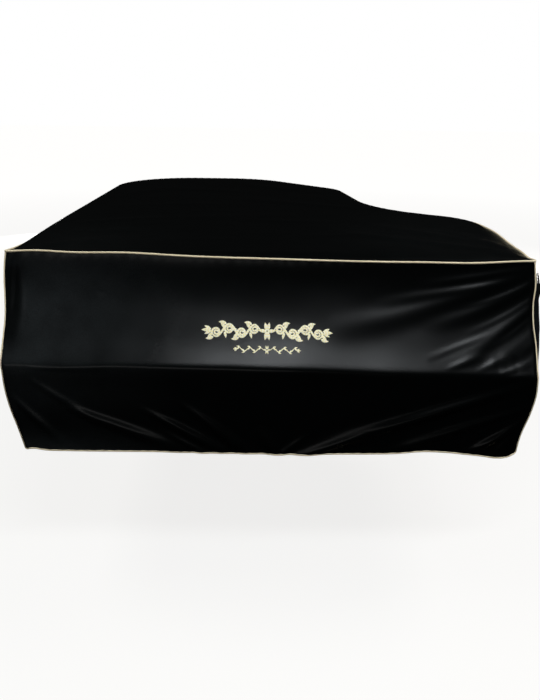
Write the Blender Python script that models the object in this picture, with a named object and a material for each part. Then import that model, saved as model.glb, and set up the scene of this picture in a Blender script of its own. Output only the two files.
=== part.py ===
"""Fitted velvet cover for a grand piano about 2.05 m long, with its lid shut.

The cover is hollow and is built in the shape in which it hangs: a top panel on the lid, a front
apron that reaches out over the keyslip, three walls round the sides and the tail, and piping.
Metres, +Z up, the player's side at -Y. The origin is under the top, at the middle of the lid.
"""

from collections import namedtuple

import bpy
import numpy as np
from mathutils.geometry import delaunay_2d_cdt

# Cloth, cord and seams
CLOTH = 0.002
PIPING_RADIUS = 0.003
HEM_PIPING_RADIUS = 0.0025
GAP = 0.0003
PLAIN_SEAM = 0.0004

# The lid: where its middle is behind its front edge, and its outline, anticlockwise from above
MIDDLE_DEPTH = 0.965
Corner = namedtuple("Corner", "x depth radius")
LID = (
    Corner(-0.778, 0.000, 0.018),
    Corner(0.776, 0.000, 0.018),
    Corner(0.773, 0.690, 0.250),
    Corner(0.425, 0.890, 0.500),
    Corner(0.338, 1.510, 0.200),
    Corner(-0.060, 1.925, 0.380),
    Corner(-0.765, 1.930, 0.380),
)
FRONT_LEFT, FRONT_RIGHT, SHOULDER, WAIST, HIP, TAIL_RIGHT, TAIL_LEFT = range(len(LID))

# Drops are measured down from the lid's edge
HEM_DROP = 0.580
CREASE_DROP = 0.289
CREASE_REACH = 0.144
CREASE_FALL = 0.040
REACH_POWER = 1.6
DRAWN_IN = 0.069
CREASE_SOFTNESS = 0.006
REACH_FADE_DEPTH = 0.550
SIDE_FADE_DEPTH = 0.220
FOLD_START = 0.020

# How far the front corners stand outside the lid's corners, on each side, at each drop
HALF_WIDTH = 0.765
Side = namedtuple("Side", "drop left right")
SIDES = (
    Side(0.000, 0.000, 0.000),
    Side(0.030, 0.007, 0.004),
    Side(0.075, 0.011, 0.007),
    Side(0.120, 0.009, 0.001),
    Side(0.170, 0.004, 0.000),
    Side(0.240, 0.000, 0.005),
    Side(0.310, -0.001, 0.004),
    Side(0.370, -0.001, 0.008),
    Side(0.430, -0.007, 0.001),
    Side(0.500, -0.021, -0.015),
    Side(0.600, -0.039, -0.023),
)

# How far the top piping lies below the top, where the cloth is drawn over the lid's edge
FRONT_DIPS = (0.002, 0.003, 0.010, 0.015, 0.006)
FRONT_DIP_SHARES = (0, 0.200, 0.480, 0.730, 1)
CHEEK_DIP = 0.014
CHEEK_DIP_PLACE = 0.300
SIDE_DIPS = (0.005, 0.005, 0.005, 0.006, 0.012)
SPINE_DIP = 0.016
SPINE_DIP_PLACE = 0.250
ROLL_WIDTH = 0.013

# Soft ridges in the cloth. On a wall, along is a length on the lid's edge from the anchor
Fold = namedtuple("Fold", "start_along start_drop end_along end_drop bow height half_width")
APRON_FOLDS = (
    Fold(0.800, 0.032, 0.190, 0.166, 0.007, 0.0115, 0.021),
    Fold(0.790, 0.042, 0.470, 0.215, 0.000, 0.0080, 0.017),
    Fold(0.790, 0.085, 0.460, 0.262, 0.000, 0.0080, 0.016),
    Fold(0.790, 0.120, 0.580, 0.275, 0.000, 0.0080, 0.014),
    Fold(-0.755, 0.020, -0.722, 0.290, -0.022, 0.0080, 0.014),
    Fold(-0.620, 0.420, -0.240, 0.580, 0.000, 0.0090, 0.019),
    Fold(-0.390, 0.420, -0.110, 0.590, 0.000, 0.0080, 0.016),
    Fold(-0.270, 0.400, -0.030, 0.590, 0.000, 0.0060, 0.015),
    Fold(0.790, 0.320, 0.060, 0.580, 0.006, 0.0110, 0.022),
    Fold(0.780, 0.400, 0.330, 0.575, 0.000, 0.0085, 0.018),
    Fold(0.770, 0.440, 0.620, 0.580, 0.000, 0.0070, 0.016),
    Fold(-0.030, 0.480, 0.060, 0.640, 0.000, 0.0060, 0.024),
)
CHEEK_FOLDS = (
    Fold(-0.030, 0.040, 0.330, 0.320, 0.000, 0.0060, 0.018),
    Fold(-0.020, 0.340, 0.260, 0.680, 0.000, 0.0080, 0.022),
    Fold(0.380, 0.120, 0.400, 1.000, 0.000, 0.0080, 0.040),
    Fold(0.610, 0.150, 0.590, 1.000, 0.000, 0.0110, 0.048),
    Fold(0.860, 0.120, 0.870, 1.000, 0.000, 0.0090, 0.042),
    Fold(1.090, 0.140, 1.070, 1.000, 0.000, 0.0120, 0.048),
    Fold(1.330, 0.120, 1.350, 1.000, 0.000, 0.0080, 0.044),
    Fold(1.560, 0.150, 1.540, 1.000, 0.000, 0.0110, 0.046),
)
SPINE_FOLDS = (
    Fold(-0.030, 0.050, 0.290, 0.350, 0.000, 0.0060, 0.018),
    Fold(-0.020, 0.360, 0.230, 0.680, 0.000, 0.0080, 0.022),
    Fold(0.360, 0.140, 0.380, 1.000, 0.000, 0.0090, 0.044),
    Fold(0.620, 0.120, 0.610, 1.000, 0.000, 0.0070, 0.040),
    Fold(0.840, 0.150, 0.870, 1.000, 0.000, 0.0120, 0.050),
    Fold(1.150, 0.130, 1.130, 1.000, 0.000, 0.0080, 0.044),
    Fold(1.390, 0.150, 1.410, 1.000, 0.000, 0.0110, 0.048),
    Fold(1.650, 0.130, 1.640, 1.000, 0.000, 0.0080, 0.044),
)
TAIL_FOLDS = (
    Fold(0.060, 0.130, 0.050, 1.000, 0.000, 0.0100, 0.046),
    Fold(0.310, 0.150, 0.330, 1.000, 0.000, 0.0080, 0.042),
    Fold(0.540, 0.120, 0.520, 1.000, 0.000, 0.0120, 0.048),
    Fold(0.780, 0.140, 0.790, 1.000, 0.000, 0.0090, 0.044),
    Fold(1.000, 0.150, 0.980, 1.000, 0.000, 0.0100, 0.044),
)
# The cloth swells out beside the front corners, high on the cheek's side and low on the spine's
CHEEK_SWELLS = (
    Fold(0.040, -0.050, 0.040, 0.350, 0.000, 0.0290, 0.023),
    Fold(0.060, 0.045, 0.660, 0.045, 0.000, 0.0100, 0.050),
)
SPINE_SWELLS = (Fold(0.055, 0.330, 0.055, 0.780, 0.000, 0.0130, 0.032),)
# On the top, along is x and drop is the depth behind the front edge
TOP_FOLDS = (
    Fold(0.740, 0.090, 0.180, 0.420, 0.020, 0.0045, 0.030),
    Fold(0.700, 0.200, 0.330, 0.560, 0.000, 0.0040, 0.028),
    Fold(0.250, 0.560, -0.160, 0.600, 0.010, 0.0030, 0.030),
    Fold(-0.720, 0.480, -0.380, 0.640, 0.000, 0.0030, 0.030),
    Fold(-0.740, 0.060, -0.480, 0.240, 0.000, 0.0035, 0.030),
)
# A fold starts this share as wide as it ends, its troughs lie this many widths from its crest,
# and the folds die out this near to a corner piping
NARROW_START = 0.50
TROUGH_PLACE = 1.6
SEAM_EASE = 0.020
TOP_FOLD_INSET = 0.052

# Where the hem hangs lower, or higher where the depth is negative
Dip = namedtuple("Dip", "along depth half_width")
FRONT_HEM = (
    Dip(0.720, 0.009, 0.060),
    Dip(0.500, -0.012, 0.120),
    Dip(0.000, 0.003, 0.200),
    Dip(-0.745, -0.007, 0.030),
)
CHEEK_HEM = (
    Dip(0.000, -0.013, 0.022),
    Dip(0.350, -0.006, 0.120),
    Dip(0.900, 0.006, 0.160),
    Dip(1.400, -0.005, 0.140),
)
SPINE_HEM = (
    Dip(0.300, 0.005, 0.120),
    Dip(0.800, -0.006, 0.160),
    Dip(1.400, 0.006, 0.180),
)
TAIL_HEM = (
    Dip(0.100, -0.004, 0.120),
    Dip(0.600, 0.006, 0.160),
)

# Mesh steps, and the rows of the walls as shares of their height
APRON_STEP = 0.031
WALL_STEP = 0.082
LINE_STEP_SHARE = 1.8
CLOSEST_STATIONS = 0.012
LID_FRONT_STEP = 0.095
TOP_STEP = 0.100
TOP_MARGIN = 0.030
RING_SPACING = 0.005
POINT_SPACING = 0.012
FINE_NEAR_PIPING = 0.018
EDGE_MARGIN = 0.007
EDGE_SHARE = 0.025
ROLL_STAND_OFF = 1.06
CORNER_TURN = np.radians(12)
SHORT_STEP = 0.001
ROUNDING = 1e-7
FINE_ROWS = np.array(
    (0, 0.06, 0.13, 0.20, 0.27, 0.34, 0.40, 0.45, 0.485, 0.515, 0.55, 0.61, 0.69, 0.77, 0.85, 0.93, 1)
)
COARSE_ROWS = FINE_ROWS[::2]

# Colours as linear red, green and blue
Finish = namedtuple("Finish", "colour roughness sheen")
VELVET = Finish((0.006, 0.006, 0.008, 1), 0.75, 0.5)
SATIN = Finish((0.69, 0.56, 0.38, 1), 0.45, 0.1)


class Outline:
    """The lid's edge as straight runs and round corners, walked anticlockwise from above."""

    def __init__(self, corners):
        points = np.array([(c.x, c.depth) for c in corners])
        radii = np.array([c.radius for c in corners])
        runs = np.roll(points, -1, axis=0) - points
        lengths = np.hypot(runs[:, 0], runs[:, 1])
        headings = np.arctan2(runs[:, 1], runs[:, 0])
        before = np.roll(headings, 1)
        turns = (headings - before + np.pi) % (2 * np.pi) - np.pi
        cuts = radii * np.tan(np.abs(turns) / 2)
        arcs = radii * np.abs(turns)
        straights = lengths - cuts - np.roll(cuts, -1)
        back = np.stack([np.cos(before), np.sin(before)], axis=1)
        ahead = np.stack([np.cos(headings), np.sin(headings)], axis=1)
        arc_starts = points - cuts[:, None] * back
        run_starts = points + cuts[:, None] * ahead
        pieces = 2 * len(corners)
        self.points = np.stack([arc_starts, run_starts], axis=1).reshape(pieces, 2)
        self.headings = np.stack([before, headings], axis=1).reshape(pieces)
        self.bends = np.stack([np.sign(turns) / radii, 0 * radii], axis=1).reshape(pieces)
        stretches = np.stack([arcs, straights], axis=1).reshape(pieces)
        self.starts = np.concatenate([[0], np.cumsum(stretches)[:-1]])
        self.total = float(stretches.sum())
        self.middles = self.starts[::2] + arcs / 2

    def piece(self, along):
        """The run or corner that a length falls in."""
        return np.searchsorted(self.starts, np.mod(along, self.total), side="right") - 1

    def at(self, along):
        """Place x and depth, and heading, at a length along the edge."""
        piece = self.piece(along)
        step = np.mod(along, self.total) - self.starts[piece]
        turn = self.bends[piece] * step
        chord = step * np.sinc(turn / (2 * np.pi))
        middle = self.headings[piece] + turn / 2
        x = self.points[piece, 0] + chord * np.cos(middle)
        depth = self.points[piece, 1] + chord * np.sin(middle)
        return x, depth, self.headings[piece] + turn

    def stations(self, first, last, step, marks=()):
        """Lengths from first to last, one at each mark, the rest closer round the corners."""
        ends = np.sort(np.concatenate([self.starts, self.starts + self.total, marks]))
        knots = [first]
        for end in ends[(ends > first) & (ends < last - CLOSEST_STATIONS)]:
            if end - knots[-1] > CLOSEST_STATIONS:
                knots.append(end)
        knots.append(last)
        found = [np.array([first])]
        for a, b in zip(knots[:-1], knots[1:]):
            bend = abs(self.bends[self.piece((a + b) / 2)])
            allowed = min(step, CORNER_TURN / bend) if bend else step
            count = int(np.ceil((b - a) / allowed - ROUNDING))
            found.append(np.linspace(a, b, count + 1)[1:])
        return np.concatenate(found)

    def away(self, along, anchor):
        """Signed length from an anchor, the short way round."""
        half = self.total / 2
        return np.mod(along - anchor + half, self.total) - half


LID_EDGE = Outline(LID)
LEFT_SEAM = LID_EDGE.middles[FRONT_LEFT]
RIGHT_SEAM = LID_EDGE.middles[FRONT_RIGHT]
HIP_SEAM = LID_EDGE.middles[HIP]
TAIL_SEAM = LID_EDGE.middles[TAIL_LEFT]
LEFT_SEAM_AGAIN = LEFT_SEAM + LID_EDGE.total
FRONT_MIDDLE = (LEFT_SEAM + RIGHT_SEAM) / 2

# The rows above, with the anchor that each set is measured from, the way it runs, and whether
# each ridge has a trough beside it
FOLD_SETS = (
    (APRON_FOLDS, FRONT_MIDDLE, 1, 1),
    (CHEEK_FOLDS, RIGHT_SEAM, 1, 1),
    (SPINE_FOLDS, LEFT_SEAM_AGAIN, -1, 1),
    (TAIL_FOLDS, TAIL_SEAM, -1, 1),
    (CHEEK_SWELLS, RIGHT_SEAM, 1, 0),
    (SPINE_SWELLS, LEFT_SEAM_AGAIN, -1, 0),
)
HEM_SETS = (
    (FRONT_HEM, FRONT_MIDDLE, 1),
    (CHEEK_HEM, RIGHT_SEAM, 1),
    (SPINE_HEM, LEFT_SEAM, -1),
    (TAIL_HEM, TAIL_SEAM, -1),
)


def smooth_rows(at, places, values):
    """A smooth curve through the rows of a table: cubics that share the table's slopes."""
    places = np.asarray(places)
    values = np.asarray(values)
    slopes = np.gradient(values, places)
    row = np.clip(np.searchsorted(places, at, side="right") - 1, 0, len(places) - 2)
    gap = places[row + 1] - places[row]
    share = np.clip((at - places[row]) / gap, 0, 1)
    rest = 1 - share
    start = (values[row] * (1 + 2 * share) + slopes[row] * gap * share) * rest**2
    end = (values[row + 1] * (1 + 2 * rest) - slopes[row + 1] * gap * rest) * share**2
    return start + end


def ridge(fold, along, drop, trough):
    """A soft ridge with a shallow trough on each side, narrow at its start, fading at its ends."""
    run_along = fold.end_along - fold.start_along
    run_drop = fold.end_drop - fold.start_drop
    length = np.hypot(run_along, run_drop)
    from_along = along - fold.start_along
    from_drop = drop - fold.start_drop
    share = np.clip((from_along * run_along + from_drop * run_drop) / length**2, 0, 1)
    side = (from_drop * run_along - from_along * run_drop) / length
    side = side - fold.bow * 4 * share * (1 - share)
    width = fold.half_width * (NARROW_START + (1 - NARROW_START) * share)
    across = (side / width) ** 2
    return fold.height * np.sin(np.pi * share) * (1 - trough * across) * np.exp(-across / 2)


def fold_height(along, drop):
    """How far the folds lift a wall outwards. They die out at the lid's edge and corner seams."""
    height = 0 * (along + drop)
    for folds, anchor, way, trough in FOLD_SETS:
        local = way * LID_EDGE.away(along, anchor)
        for fold in folds:
            height = height + ridge(fold, local, drop, trough)
    for seam in (LEFT_SEAM, RIGHT_SEAM):
        height = height * (1 - np.exp(-((LID_EDGE.away(along, seam) / SEAM_EASE) ** 2)))
    return height * (1 - np.exp(-drop / FOLD_START))


def seam_dip(along):
    """How far the top piping lies below the top."""
    front = LEFT_SEAM + np.array(FRONT_DIP_SHARES) * (RIGHT_SEAM - LEFT_SEAM)
    corners = LID_EDGE.middles[SHOULDER:]
    cheek = RIGHT_SEAM + CHEEK_DIP_PLACE
    spine = LEFT_SEAM_AGAIN - SPINE_DIP_PLACE
    places = [*front, cheek, *corners, spine, LEFT_SEAM_AGAIN]
    dips = [*FRONT_DIPS, CHEEK_DIP, *SIDE_DIPS, SPINE_DIP, FRONT_DIPS[0]]
    return smooth_rows(np.mod(along - LEFT_SEAM, LID_EDGE.total) + LEFT_SEAM, places, dips)


def hem_drop(along):
    """The drop of the hem from the seam above it."""
    drop = HEM_DROP - seam_dip(along)
    for dips, anchor, way in HEM_SETS:
        local = way * LID_EDGE.away(along, anchor)
        for dip in dips:
            drop = drop + dip.depth * np.exp(-(((local - dip.along) / dip.half_width) ** 2))
    return drop


def reach(x, drop):
    """How far the front stands out: a growing flare down to the crease, then slightly in again."""
    crease = CREASE_DROP + CREASE_FALL * np.maximum(x, 0) ** 2
    flare = CREASE_REACH * (np.maximum(drop, 0) / crease) ** REACH_POWER
    hang = CREASE_REACH - DRAWN_IN * (drop - crease)
    return -CREASE_SOFTNESS * np.logaddexp(-flare / CREASE_SOFTNESS, -hang / CREASE_SOFTNESS)


def wall_point(along, drop):
    """The middle of the cloth at a length along the lid's edge and a drop below its piping."""
    x, depth, heading = LID_EDGE.at(along)
    drops, left, right = np.array(SIDES).T
    side = np.where(x < 0, smooth_rows(drop, drops, left), smooth_rows(drop, drops, right))
    widen = 1 + side / HALF_WIDTH * np.exp(-((depth / SIDE_FADE_DEPTH) ** 2))
    slide = reach(x, drop) * np.clip(1 - depth / REACH_FADE_DEPTH, 0, 1) ** 2
    lift = fold_height(along, drop)
    place_x = x * widen + lift * np.sin(heading)
    place_depth = depth - slide - lift * np.cos(heading)
    z = CLOTH / 2 - seam_dip(along) - drop
    return np.stack([place_x, place_depth - MIDDLE_DEPTH, z], axis=-1)


def row_drops(along, rows):
    """Drops of a wall's rows, from under the top piping to above the hem piping."""
    top = PIPING_RADIUS + GAP
    slope = (hem_drop(along + SHORT_STEP) - hem_drop(along - SHORT_STEP)) / (2 * SHORT_STEP)
    bottom = hem_drop(along) - (HEM_PIPING_RADIUS + GAP) * np.sqrt(1 + slope**2)
    return top + rows * (bottom - top)


def fold_lines(side):
    """Lengths and drops along every fold: its crest for side 0, and its troughs for 1 and -1."""
    found = []
    for folds, anchor, way, _ in FOLD_SETS:
        for fold in folds:
            run = np.array((fold.end_along - fold.start_along, fold.end_drop - fold.start_drop))
            length = np.hypot(*run)
            count = int(length / (LINE_STEP_SHARE * fold.half_width)) + 1
            share = np.linspace(0, 1, count + 1)[:, None]
            width = fold.half_width * (NARROW_START + (1 - NARROW_START) * share)
            off = fold.bow * 4 * share * (1 - share) + side * TROUGH_PLACE * width
            place = (fold.start_along, fold.start_drop) + share * run
            place = place + off * np.array((-run[1], run[0])) / length
            found.append(place * (way, 1) + (anchor, 0))
    return np.concatenate(found)


def flute_marks():
    """Where the crests and troughs of the upright folds meet the hem, as lengths on the edge."""
    found = []
    for folds, anchor, way, _ in FOLD_SETS:
        for fold in folds:
            upright = abs(fold.end_along - fold.start_along) < fold.half_width
            if upright:
                share = (HEM_DROP - fold.start_drop) / (fold.end_drop - fold.start_drop)
                place = fold.start_along + share * (fold.end_along - fold.start_along)
                width = TROUGH_PLACE * fold.half_width
                found += [anchor + way * (place + side * width) for side in (-1, 0, 1)]
    return found


def beside_piping(end, way, rows):
    """The edge of a wall beside a corner piping. It stands off further where the piping leans."""
    clearance = PIPING_RADIUS + GAP
    x, _, _ = LID_EDGE.at(end)
    drop = row_drops(end, rows)
    lean = (reach(x, drop + SHORT_STEP) - reach(x, drop - SHORT_STEP)) / (2 * SHORT_STEP)
    return end + way * clearance * np.sqrt(1 + lean**2 / 2)


def beside_seam(end, way, rows):
    """The edge of a wall at a plain seam."""
    return end + way * PLAIN_SEAM / 2 + 0 * rows


def triangulate(boundary, inside):
    """Delaunay triangles of a plane region, from its boundary loop and the points inside it."""
    flat = [tuple(p) for p in np.concatenate([boundary, inside])]
    loop = list(range(len(boundary)))
    vertices, _, faces, *_ = delaunay_2d_cdt(flat, [], [loop], 1, ROUNDING)
    return np.array([tuple(v) for v in vertices]), [tuple(f) for f in faces]


def thinned(points, spacing, kept):
    """The points that lie at least a spacing from the kept ones and from those before them."""
    found = list(kept)
    for point in points:
        gaps = np.hypot(*(np.array(found) - point).T)
        if gaps.min() >= spacing:
            found.append(point)
    return np.array(found[len(kept):])


def wall_mesh(stations, edges):
    """Points and faces of a wall: rows at its stations, thinned beside the points of its folds."""
    piped = [edge is beside_piping for edge in edges]
    ends = (stations[0], stations[-1])
    inner = stations[(stations > ends[0] + EDGE_MARGIN) & (stations < ends[1] - EDGE_MARGIN)]
    edge_rows = [FINE_ROWS if near_piping else COARSE_ROWS for near_piping in piped]
    first = np.stack([edges[0](ends[0], 1, edge_rows[0]), edge_rows[0]], axis=1)
    last = np.stack([edges[1](ends[1], -1, edge_rows[1]), edge_rows[1]], axis=1)
    top = np.stack([inner, 0 * inner], axis=1)
    hem = np.stack([inner, 0 * inner + 1], axis=1)
    boundary = np.concatenate([first[:1], top, last, hem[::-1], first[:0:-1]])

    corner_columns = np.zeros(len(inner), dtype=bool)
    for end, near_piping in zip(ends, piped):
        corner_columns |= near_piping & (np.abs(inner - end) < FINE_NEAR_PIPING)
    plain_rows = FINE_ROWS if all(piped) else COARSE_ROWS
    plain_columns = inner[~corner_columns][::2] if all(piped) else inner[~corner_columns]
    corner_grid = [(a, row) for a in inner[corner_columns] for row in FINE_ROWS[1:-1]]
    plain_grid = [(a, row) for a in plain_columns for row in plain_rows[1:-1]]

    lines = np.concatenate([fold_lines(side) for side in (0, 1, -1)])
    lines = lines[(lines[:, 0] > ends[0] + EDGE_MARGIN) & (lines[:, 0] < ends[1] - EDGE_MARGIN)]
    ease = row_drops(lines[:, 0], np.array([[0], [1]]))
    lines[:, 1] = (lines[:, 1] - ease[0]) / (ease[1] - ease[0])
    lines = lines[(lines[:, 1] > EDGE_SHARE) & (lines[:, 1] < 1 - EDGE_SHARE)]

    scale = np.array((1, HEM_DROP))
    kept = np.concatenate([boundary, np.array(corner_grid).reshape(-1, 2)]) * scale
    rest = np.concatenate([lines, plain_grid]) * scale
    inside = np.concatenate([kept[len(boundary):], thinned(rest, POINT_SPACING, kept)])
    flat, faces = triangulate(boundary * scale, inside)
    along, row = (flat / scale).T
    return wall_point(along, row_drops(along, row)), faces


def inset_from_edge(points):
    """How far plan points lie inside the lid's edge, and the length along it that is nearest."""
    edge = np.arange(0, LID_EDGE.total, SHORT_STEP)
    x, depth, heading = LID_EDGE.at(edge)
    gaps = np.hypot(points[:, :1] - x, points[:, 1:] - depth)
    near = gaps.argmin(axis=1)
    outward = (points[:, 0] - x[near]) * np.sin(heading[near])
    outward = outward - (points[:, 1] - depth[near]) * np.cos(heading[near])
    return gaps.min(axis=1) * -np.sign(outward), edge[near]


def ring(stations, inset):
    """Plan points inside the lid's edge."""
    x, depth, heading = LID_EDGE.at(stations)
    return np.stack([x - inset * np.sin(heading), depth + inset * np.cos(heading)], axis=1)


def top_mesh(stations):
    """Points and faces of the top: flat with low ridges, and rolled over the lid's edge."""
    steepness = 2 * seam_dip(stations) / ROLL_WIDTH
    clearance = ROLL_STAND_OFF * (PIPING_RADIUS + GAP) / np.sqrt(1 + steepness**2)
    boundary = ring(stations, clearance)
    rolled = np.concatenate([ring(stations, ROLL_WIDTH / 2), ring(stations, ROLL_WIDTH)])
    half = TOP_STEP / 2
    xs = np.arange(-HALF_WIDTH + half, HALF_WIDTH, TOP_STEP)
    depths = np.arange(half, 2 * MIDDLE_DEPTH, TOP_STEP)
    grid = np.array([(x, depth) for depth in depths for x in xs])
    grid = grid[inset_from_edge(grid)[0] > ROLL_WIDTH + TOP_MARGIN]
    inside = thinned(np.concatenate([rolled, grid]), RING_SPACING, boundary)
    flat, faces = triangulate(boundary, inside)
    inset, nearest = inset_from_edge(flat)
    height = 0 * inset
    for fold in TOP_FOLDS:
        height = height + ridge(fold, flat[:, 0], flat[:, 1], 0)
    height = height * np.clip(inset / TOP_FOLD_INSET, 0, 1) ** 2
    roll = np.clip(1 - inset / ROLL_WIDTH, 0, 1) ** 2
    z = CLOTH / 2 + height - seam_dip(nearest) * roll
    return np.stack([flat[:, 0], flat[:, 1] - MIDDLE_DEPTH, z], axis=1), faces


def cloth_or_cord(name, finish):
    """A plain material, without metal."""
    material = bpy.data.materials.new(name)
    material.use_nodes = True
    shader = material.node_tree.nodes["Principled BSDF"]
    shader.inputs["Base Color"].default_value = finish.colour
    shader.inputs["Roughness"].default_value = finish.roughness
    shader.inputs["Metallic"].default_value = 0
    shader.inputs["Sheen Weight"].default_value = finish.sheen
    return material


def add_sheet(name, points_and_faces, material):
    """A piece of cloth: its middle surface, given its thickness to both sides."""
    points, faces = points_and_faces
    mesh = bpy.data.meshes.new(name)
    mesh.from_pydata([tuple(p) for p in points], [], faces)
    mesh.shade_smooth()
    mesh.materials.append(material)
    piece = bpy.data.objects.new(name, mesh)
    bpy.context.collection.objects.link(piece)
    thickness = piece.modifiers.new("Thickness", "SOLIDIFY")
    thickness.thickness = CLOTH
    thickness.offset = 0
    thickness.use_even_offset = True


def add_piping(name, points, radius, closed, material):
    """A round covered cord along a path."""
    curve = bpy.data.curves.new(name, "CURVE")
    curve.dimensions = "3D"
    curve.twist_mode = "Z_UP" if closed else "MINIMUM"
    curve.bevel_depth = radius
    curve.bevel_resolution = 2
    curve.use_fill_caps = not closed
    curve.render_resolution_u = 0
    spline = curve.splines.new("POLY")
    spline.points.add(len(points) - 1)
    for place, point in zip(spline.points, points):
        place.co = (*point, 1)
    spline.use_cyclic_u = closed
    curve.materials.append(material)
    piece = bpy.data.objects.new(name, curve)
    bpy.context.collection.objects.link(piece)


def corner_path(seam):
    """The middle line of a corner piping, from under the top piping to above the hem piping."""
    return wall_point(seam, row_drops(seam, FINE_ROWS))


def build_cover():
    """Every piece of the cover."""
    velvet = cloth_or_cord("black_velvet", VELVET)
    satin = cloth_or_cord("champagne_satin", SATIN)

    marks = flute_marks()
    apron = LID_EDGE.stations(LEFT_SEAM, RIGHT_SEAM, APRON_STEP)
    bentside = LID_EDGE.stations(RIGHT_SEAM, HIP_SEAM, WALL_STEP, marks)
    tail = LID_EDGE.stations(HIP_SEAM, TAIL_SEAM, WALL_STEP, marks)
    spine = LID_EDGE.stations(TAIL_SEAM, LEFT_SEAM_AGAIN, WALL_STEP, marks)
    lid_front = LID_EDGE.stations(LEFT_SEAM, RIGHT_SEAM, LID_FRONT_STEP)
    top_loop = np.concatenate([lid_front, bentside[1:], tail[1:], spine[1:-1]])
    hem_loop = np.concatenate([apron, bentside[1:], tail[1:], spine[1:-1]])

    add_sheet("top_panel", top_mesh(top_loop), velvet)
    add_sheet("front_apron", wall_mesh(apron, (beside_piping, beside_piping)), velvet)
    add_sheet("bentside_wall", wall_mesh(bentside, (beside_piping, beside_seam)), velvet)
    add_sheet("tail_wall", wall_mesh(tail, (beside_seam, beside_seam)), velvet)
    add_sheet("spine_wall", wall_mesh(spine, (beside_seam, beside_piping)), velvet)

    top_path = wall_point(top_loop, 0 * top_loop)
    hem_path = wall_point(hem_loop, hem_drop(hem_loop))
    add_piping("top_piping", top_path, PIPING_RADIUS, True, satin)
    add_piping("hem_piping", hem_path, HEM_PIPING_RADIUS, True, satin)
    add_piping("corner_piping_left", corner_path(LEFT_SEAM), PIPING_RADIUS, False, satin)
    add_piping("corner_piping_right", corner_path(RIGHT_SEAM), PIPING_RADIUS, False, satin)


for old in list(bpy.data.objects):
    bpy.data.objects.remove(old)
build_cover()
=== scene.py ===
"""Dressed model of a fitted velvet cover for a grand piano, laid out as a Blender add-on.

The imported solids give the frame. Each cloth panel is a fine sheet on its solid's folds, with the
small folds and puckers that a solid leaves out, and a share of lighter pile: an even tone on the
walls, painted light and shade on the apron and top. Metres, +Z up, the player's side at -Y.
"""

from collections import namedtuple

import bpy
import numpy as np
from mathutils import Matrix


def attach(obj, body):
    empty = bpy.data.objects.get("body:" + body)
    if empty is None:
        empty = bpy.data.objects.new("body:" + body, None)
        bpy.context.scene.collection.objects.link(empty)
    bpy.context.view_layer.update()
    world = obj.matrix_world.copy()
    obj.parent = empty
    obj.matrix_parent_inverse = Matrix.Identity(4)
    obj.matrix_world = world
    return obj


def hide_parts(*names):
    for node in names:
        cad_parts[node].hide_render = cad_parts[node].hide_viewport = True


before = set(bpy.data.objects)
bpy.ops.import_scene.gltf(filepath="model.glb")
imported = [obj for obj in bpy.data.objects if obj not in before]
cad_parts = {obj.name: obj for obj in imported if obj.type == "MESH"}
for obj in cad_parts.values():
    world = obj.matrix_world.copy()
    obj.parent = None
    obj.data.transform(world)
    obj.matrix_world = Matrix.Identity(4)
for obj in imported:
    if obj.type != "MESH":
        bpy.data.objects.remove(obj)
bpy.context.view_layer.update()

bl_info = {
    "name": "Grand Piano Cover",
    "version": (1, 0, 0),
    "blender": (4, 5, 0),
    "location": "View3D > Sidebar > Piano Cover",
    "description": "Builds a fitted velvet cover for a grand piano, with satin piping and embroidery",
    "category": "Add Mesh",
}

# The solids' cloth, in metres. The fine sheets hang on its middle
CLOTH = 0.002

# The lid: where its middle is behind its front edge, and its outline, anticlockwise from above
MIDDLE_DEPTH = 0.965
Corner = namedtuple("Corner", "x depth radius")
LID = (
    Corner(-0.778, 0.000, 0.018),
    Corner(0.776, 0.000, 0.018),
    Corner(0.773, 0.690, 0.250),
    Corner(0.425, 0.890, 0.500),
    Corner(0.338, 1.510, 0.200),
    Corner(-0.060, 1.925, 0.380),
    Corner(-0.765, 1.930, 0.380),
)
FRONT_LEFT, FRONT_RIGHT, SHOULDER, WAIST, HIP, TAIL_RIGHT, TAIL_LEFT = range(len(LID))

# Drops are measured down from the lid's edge
HEM_DROP = 0.580
CREASE_DROP = 0.289
CREASE_REACH = 0.144
CREASE_FALL = 0.040
REACH_POWER = 1.6
DRAWN_IN = 0.069
CREASE_SOFTNESS = 0.003
REACH_FADE_DEPTH = 0.550
SIDE_FADE_DEPTH = 0.220
FOLD_START = 0.020

# How far the front corners stand outside the lid's corners, on each side, at each drop
HALF_WIDTH = 0.765
Side = namedtuple("Side", "drop left right")
SIDES = (
    Side(0.000, 0.000, 0.000),
    Side(0.030, 0.005, 0.004),
    Side(0.075, 0.007, 0.007),
    Side(0.120, 0.004, 0.001),
    Side(0.170, 0.000, 0.000),
    Side(0.240, 0.000, 0.005),
    Side(0.310, -0.001, 0.004),
    Side(0.370, -0.001, 0.008),
    Side(0.430, -0.007, 0.001),
    Side(0.500, -0.021, -0.015),
    Side(0.600, -0.039, -0.023),
)

# How far the top piping lies below the top, where the cloth is drawn over the lid's edge
FRONT_DIPS = (0.002, 0.003, 0.010, 0.015, 0.006)
FRONT_DIP_SHARES = (0, 0.200, 0.480, 0.730, 1)
CHEEK_DIP = 0.014
CHEEK_DIP_PLACE = 0.300
SIDE_DIPS = (0.005, 0.005, 0.005, 0.006, 0.012)
SPINE_DIP = 0.016
SPINE_DIP_PLACE = 0.250
ROLL_WIDTH = 0.006

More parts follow.
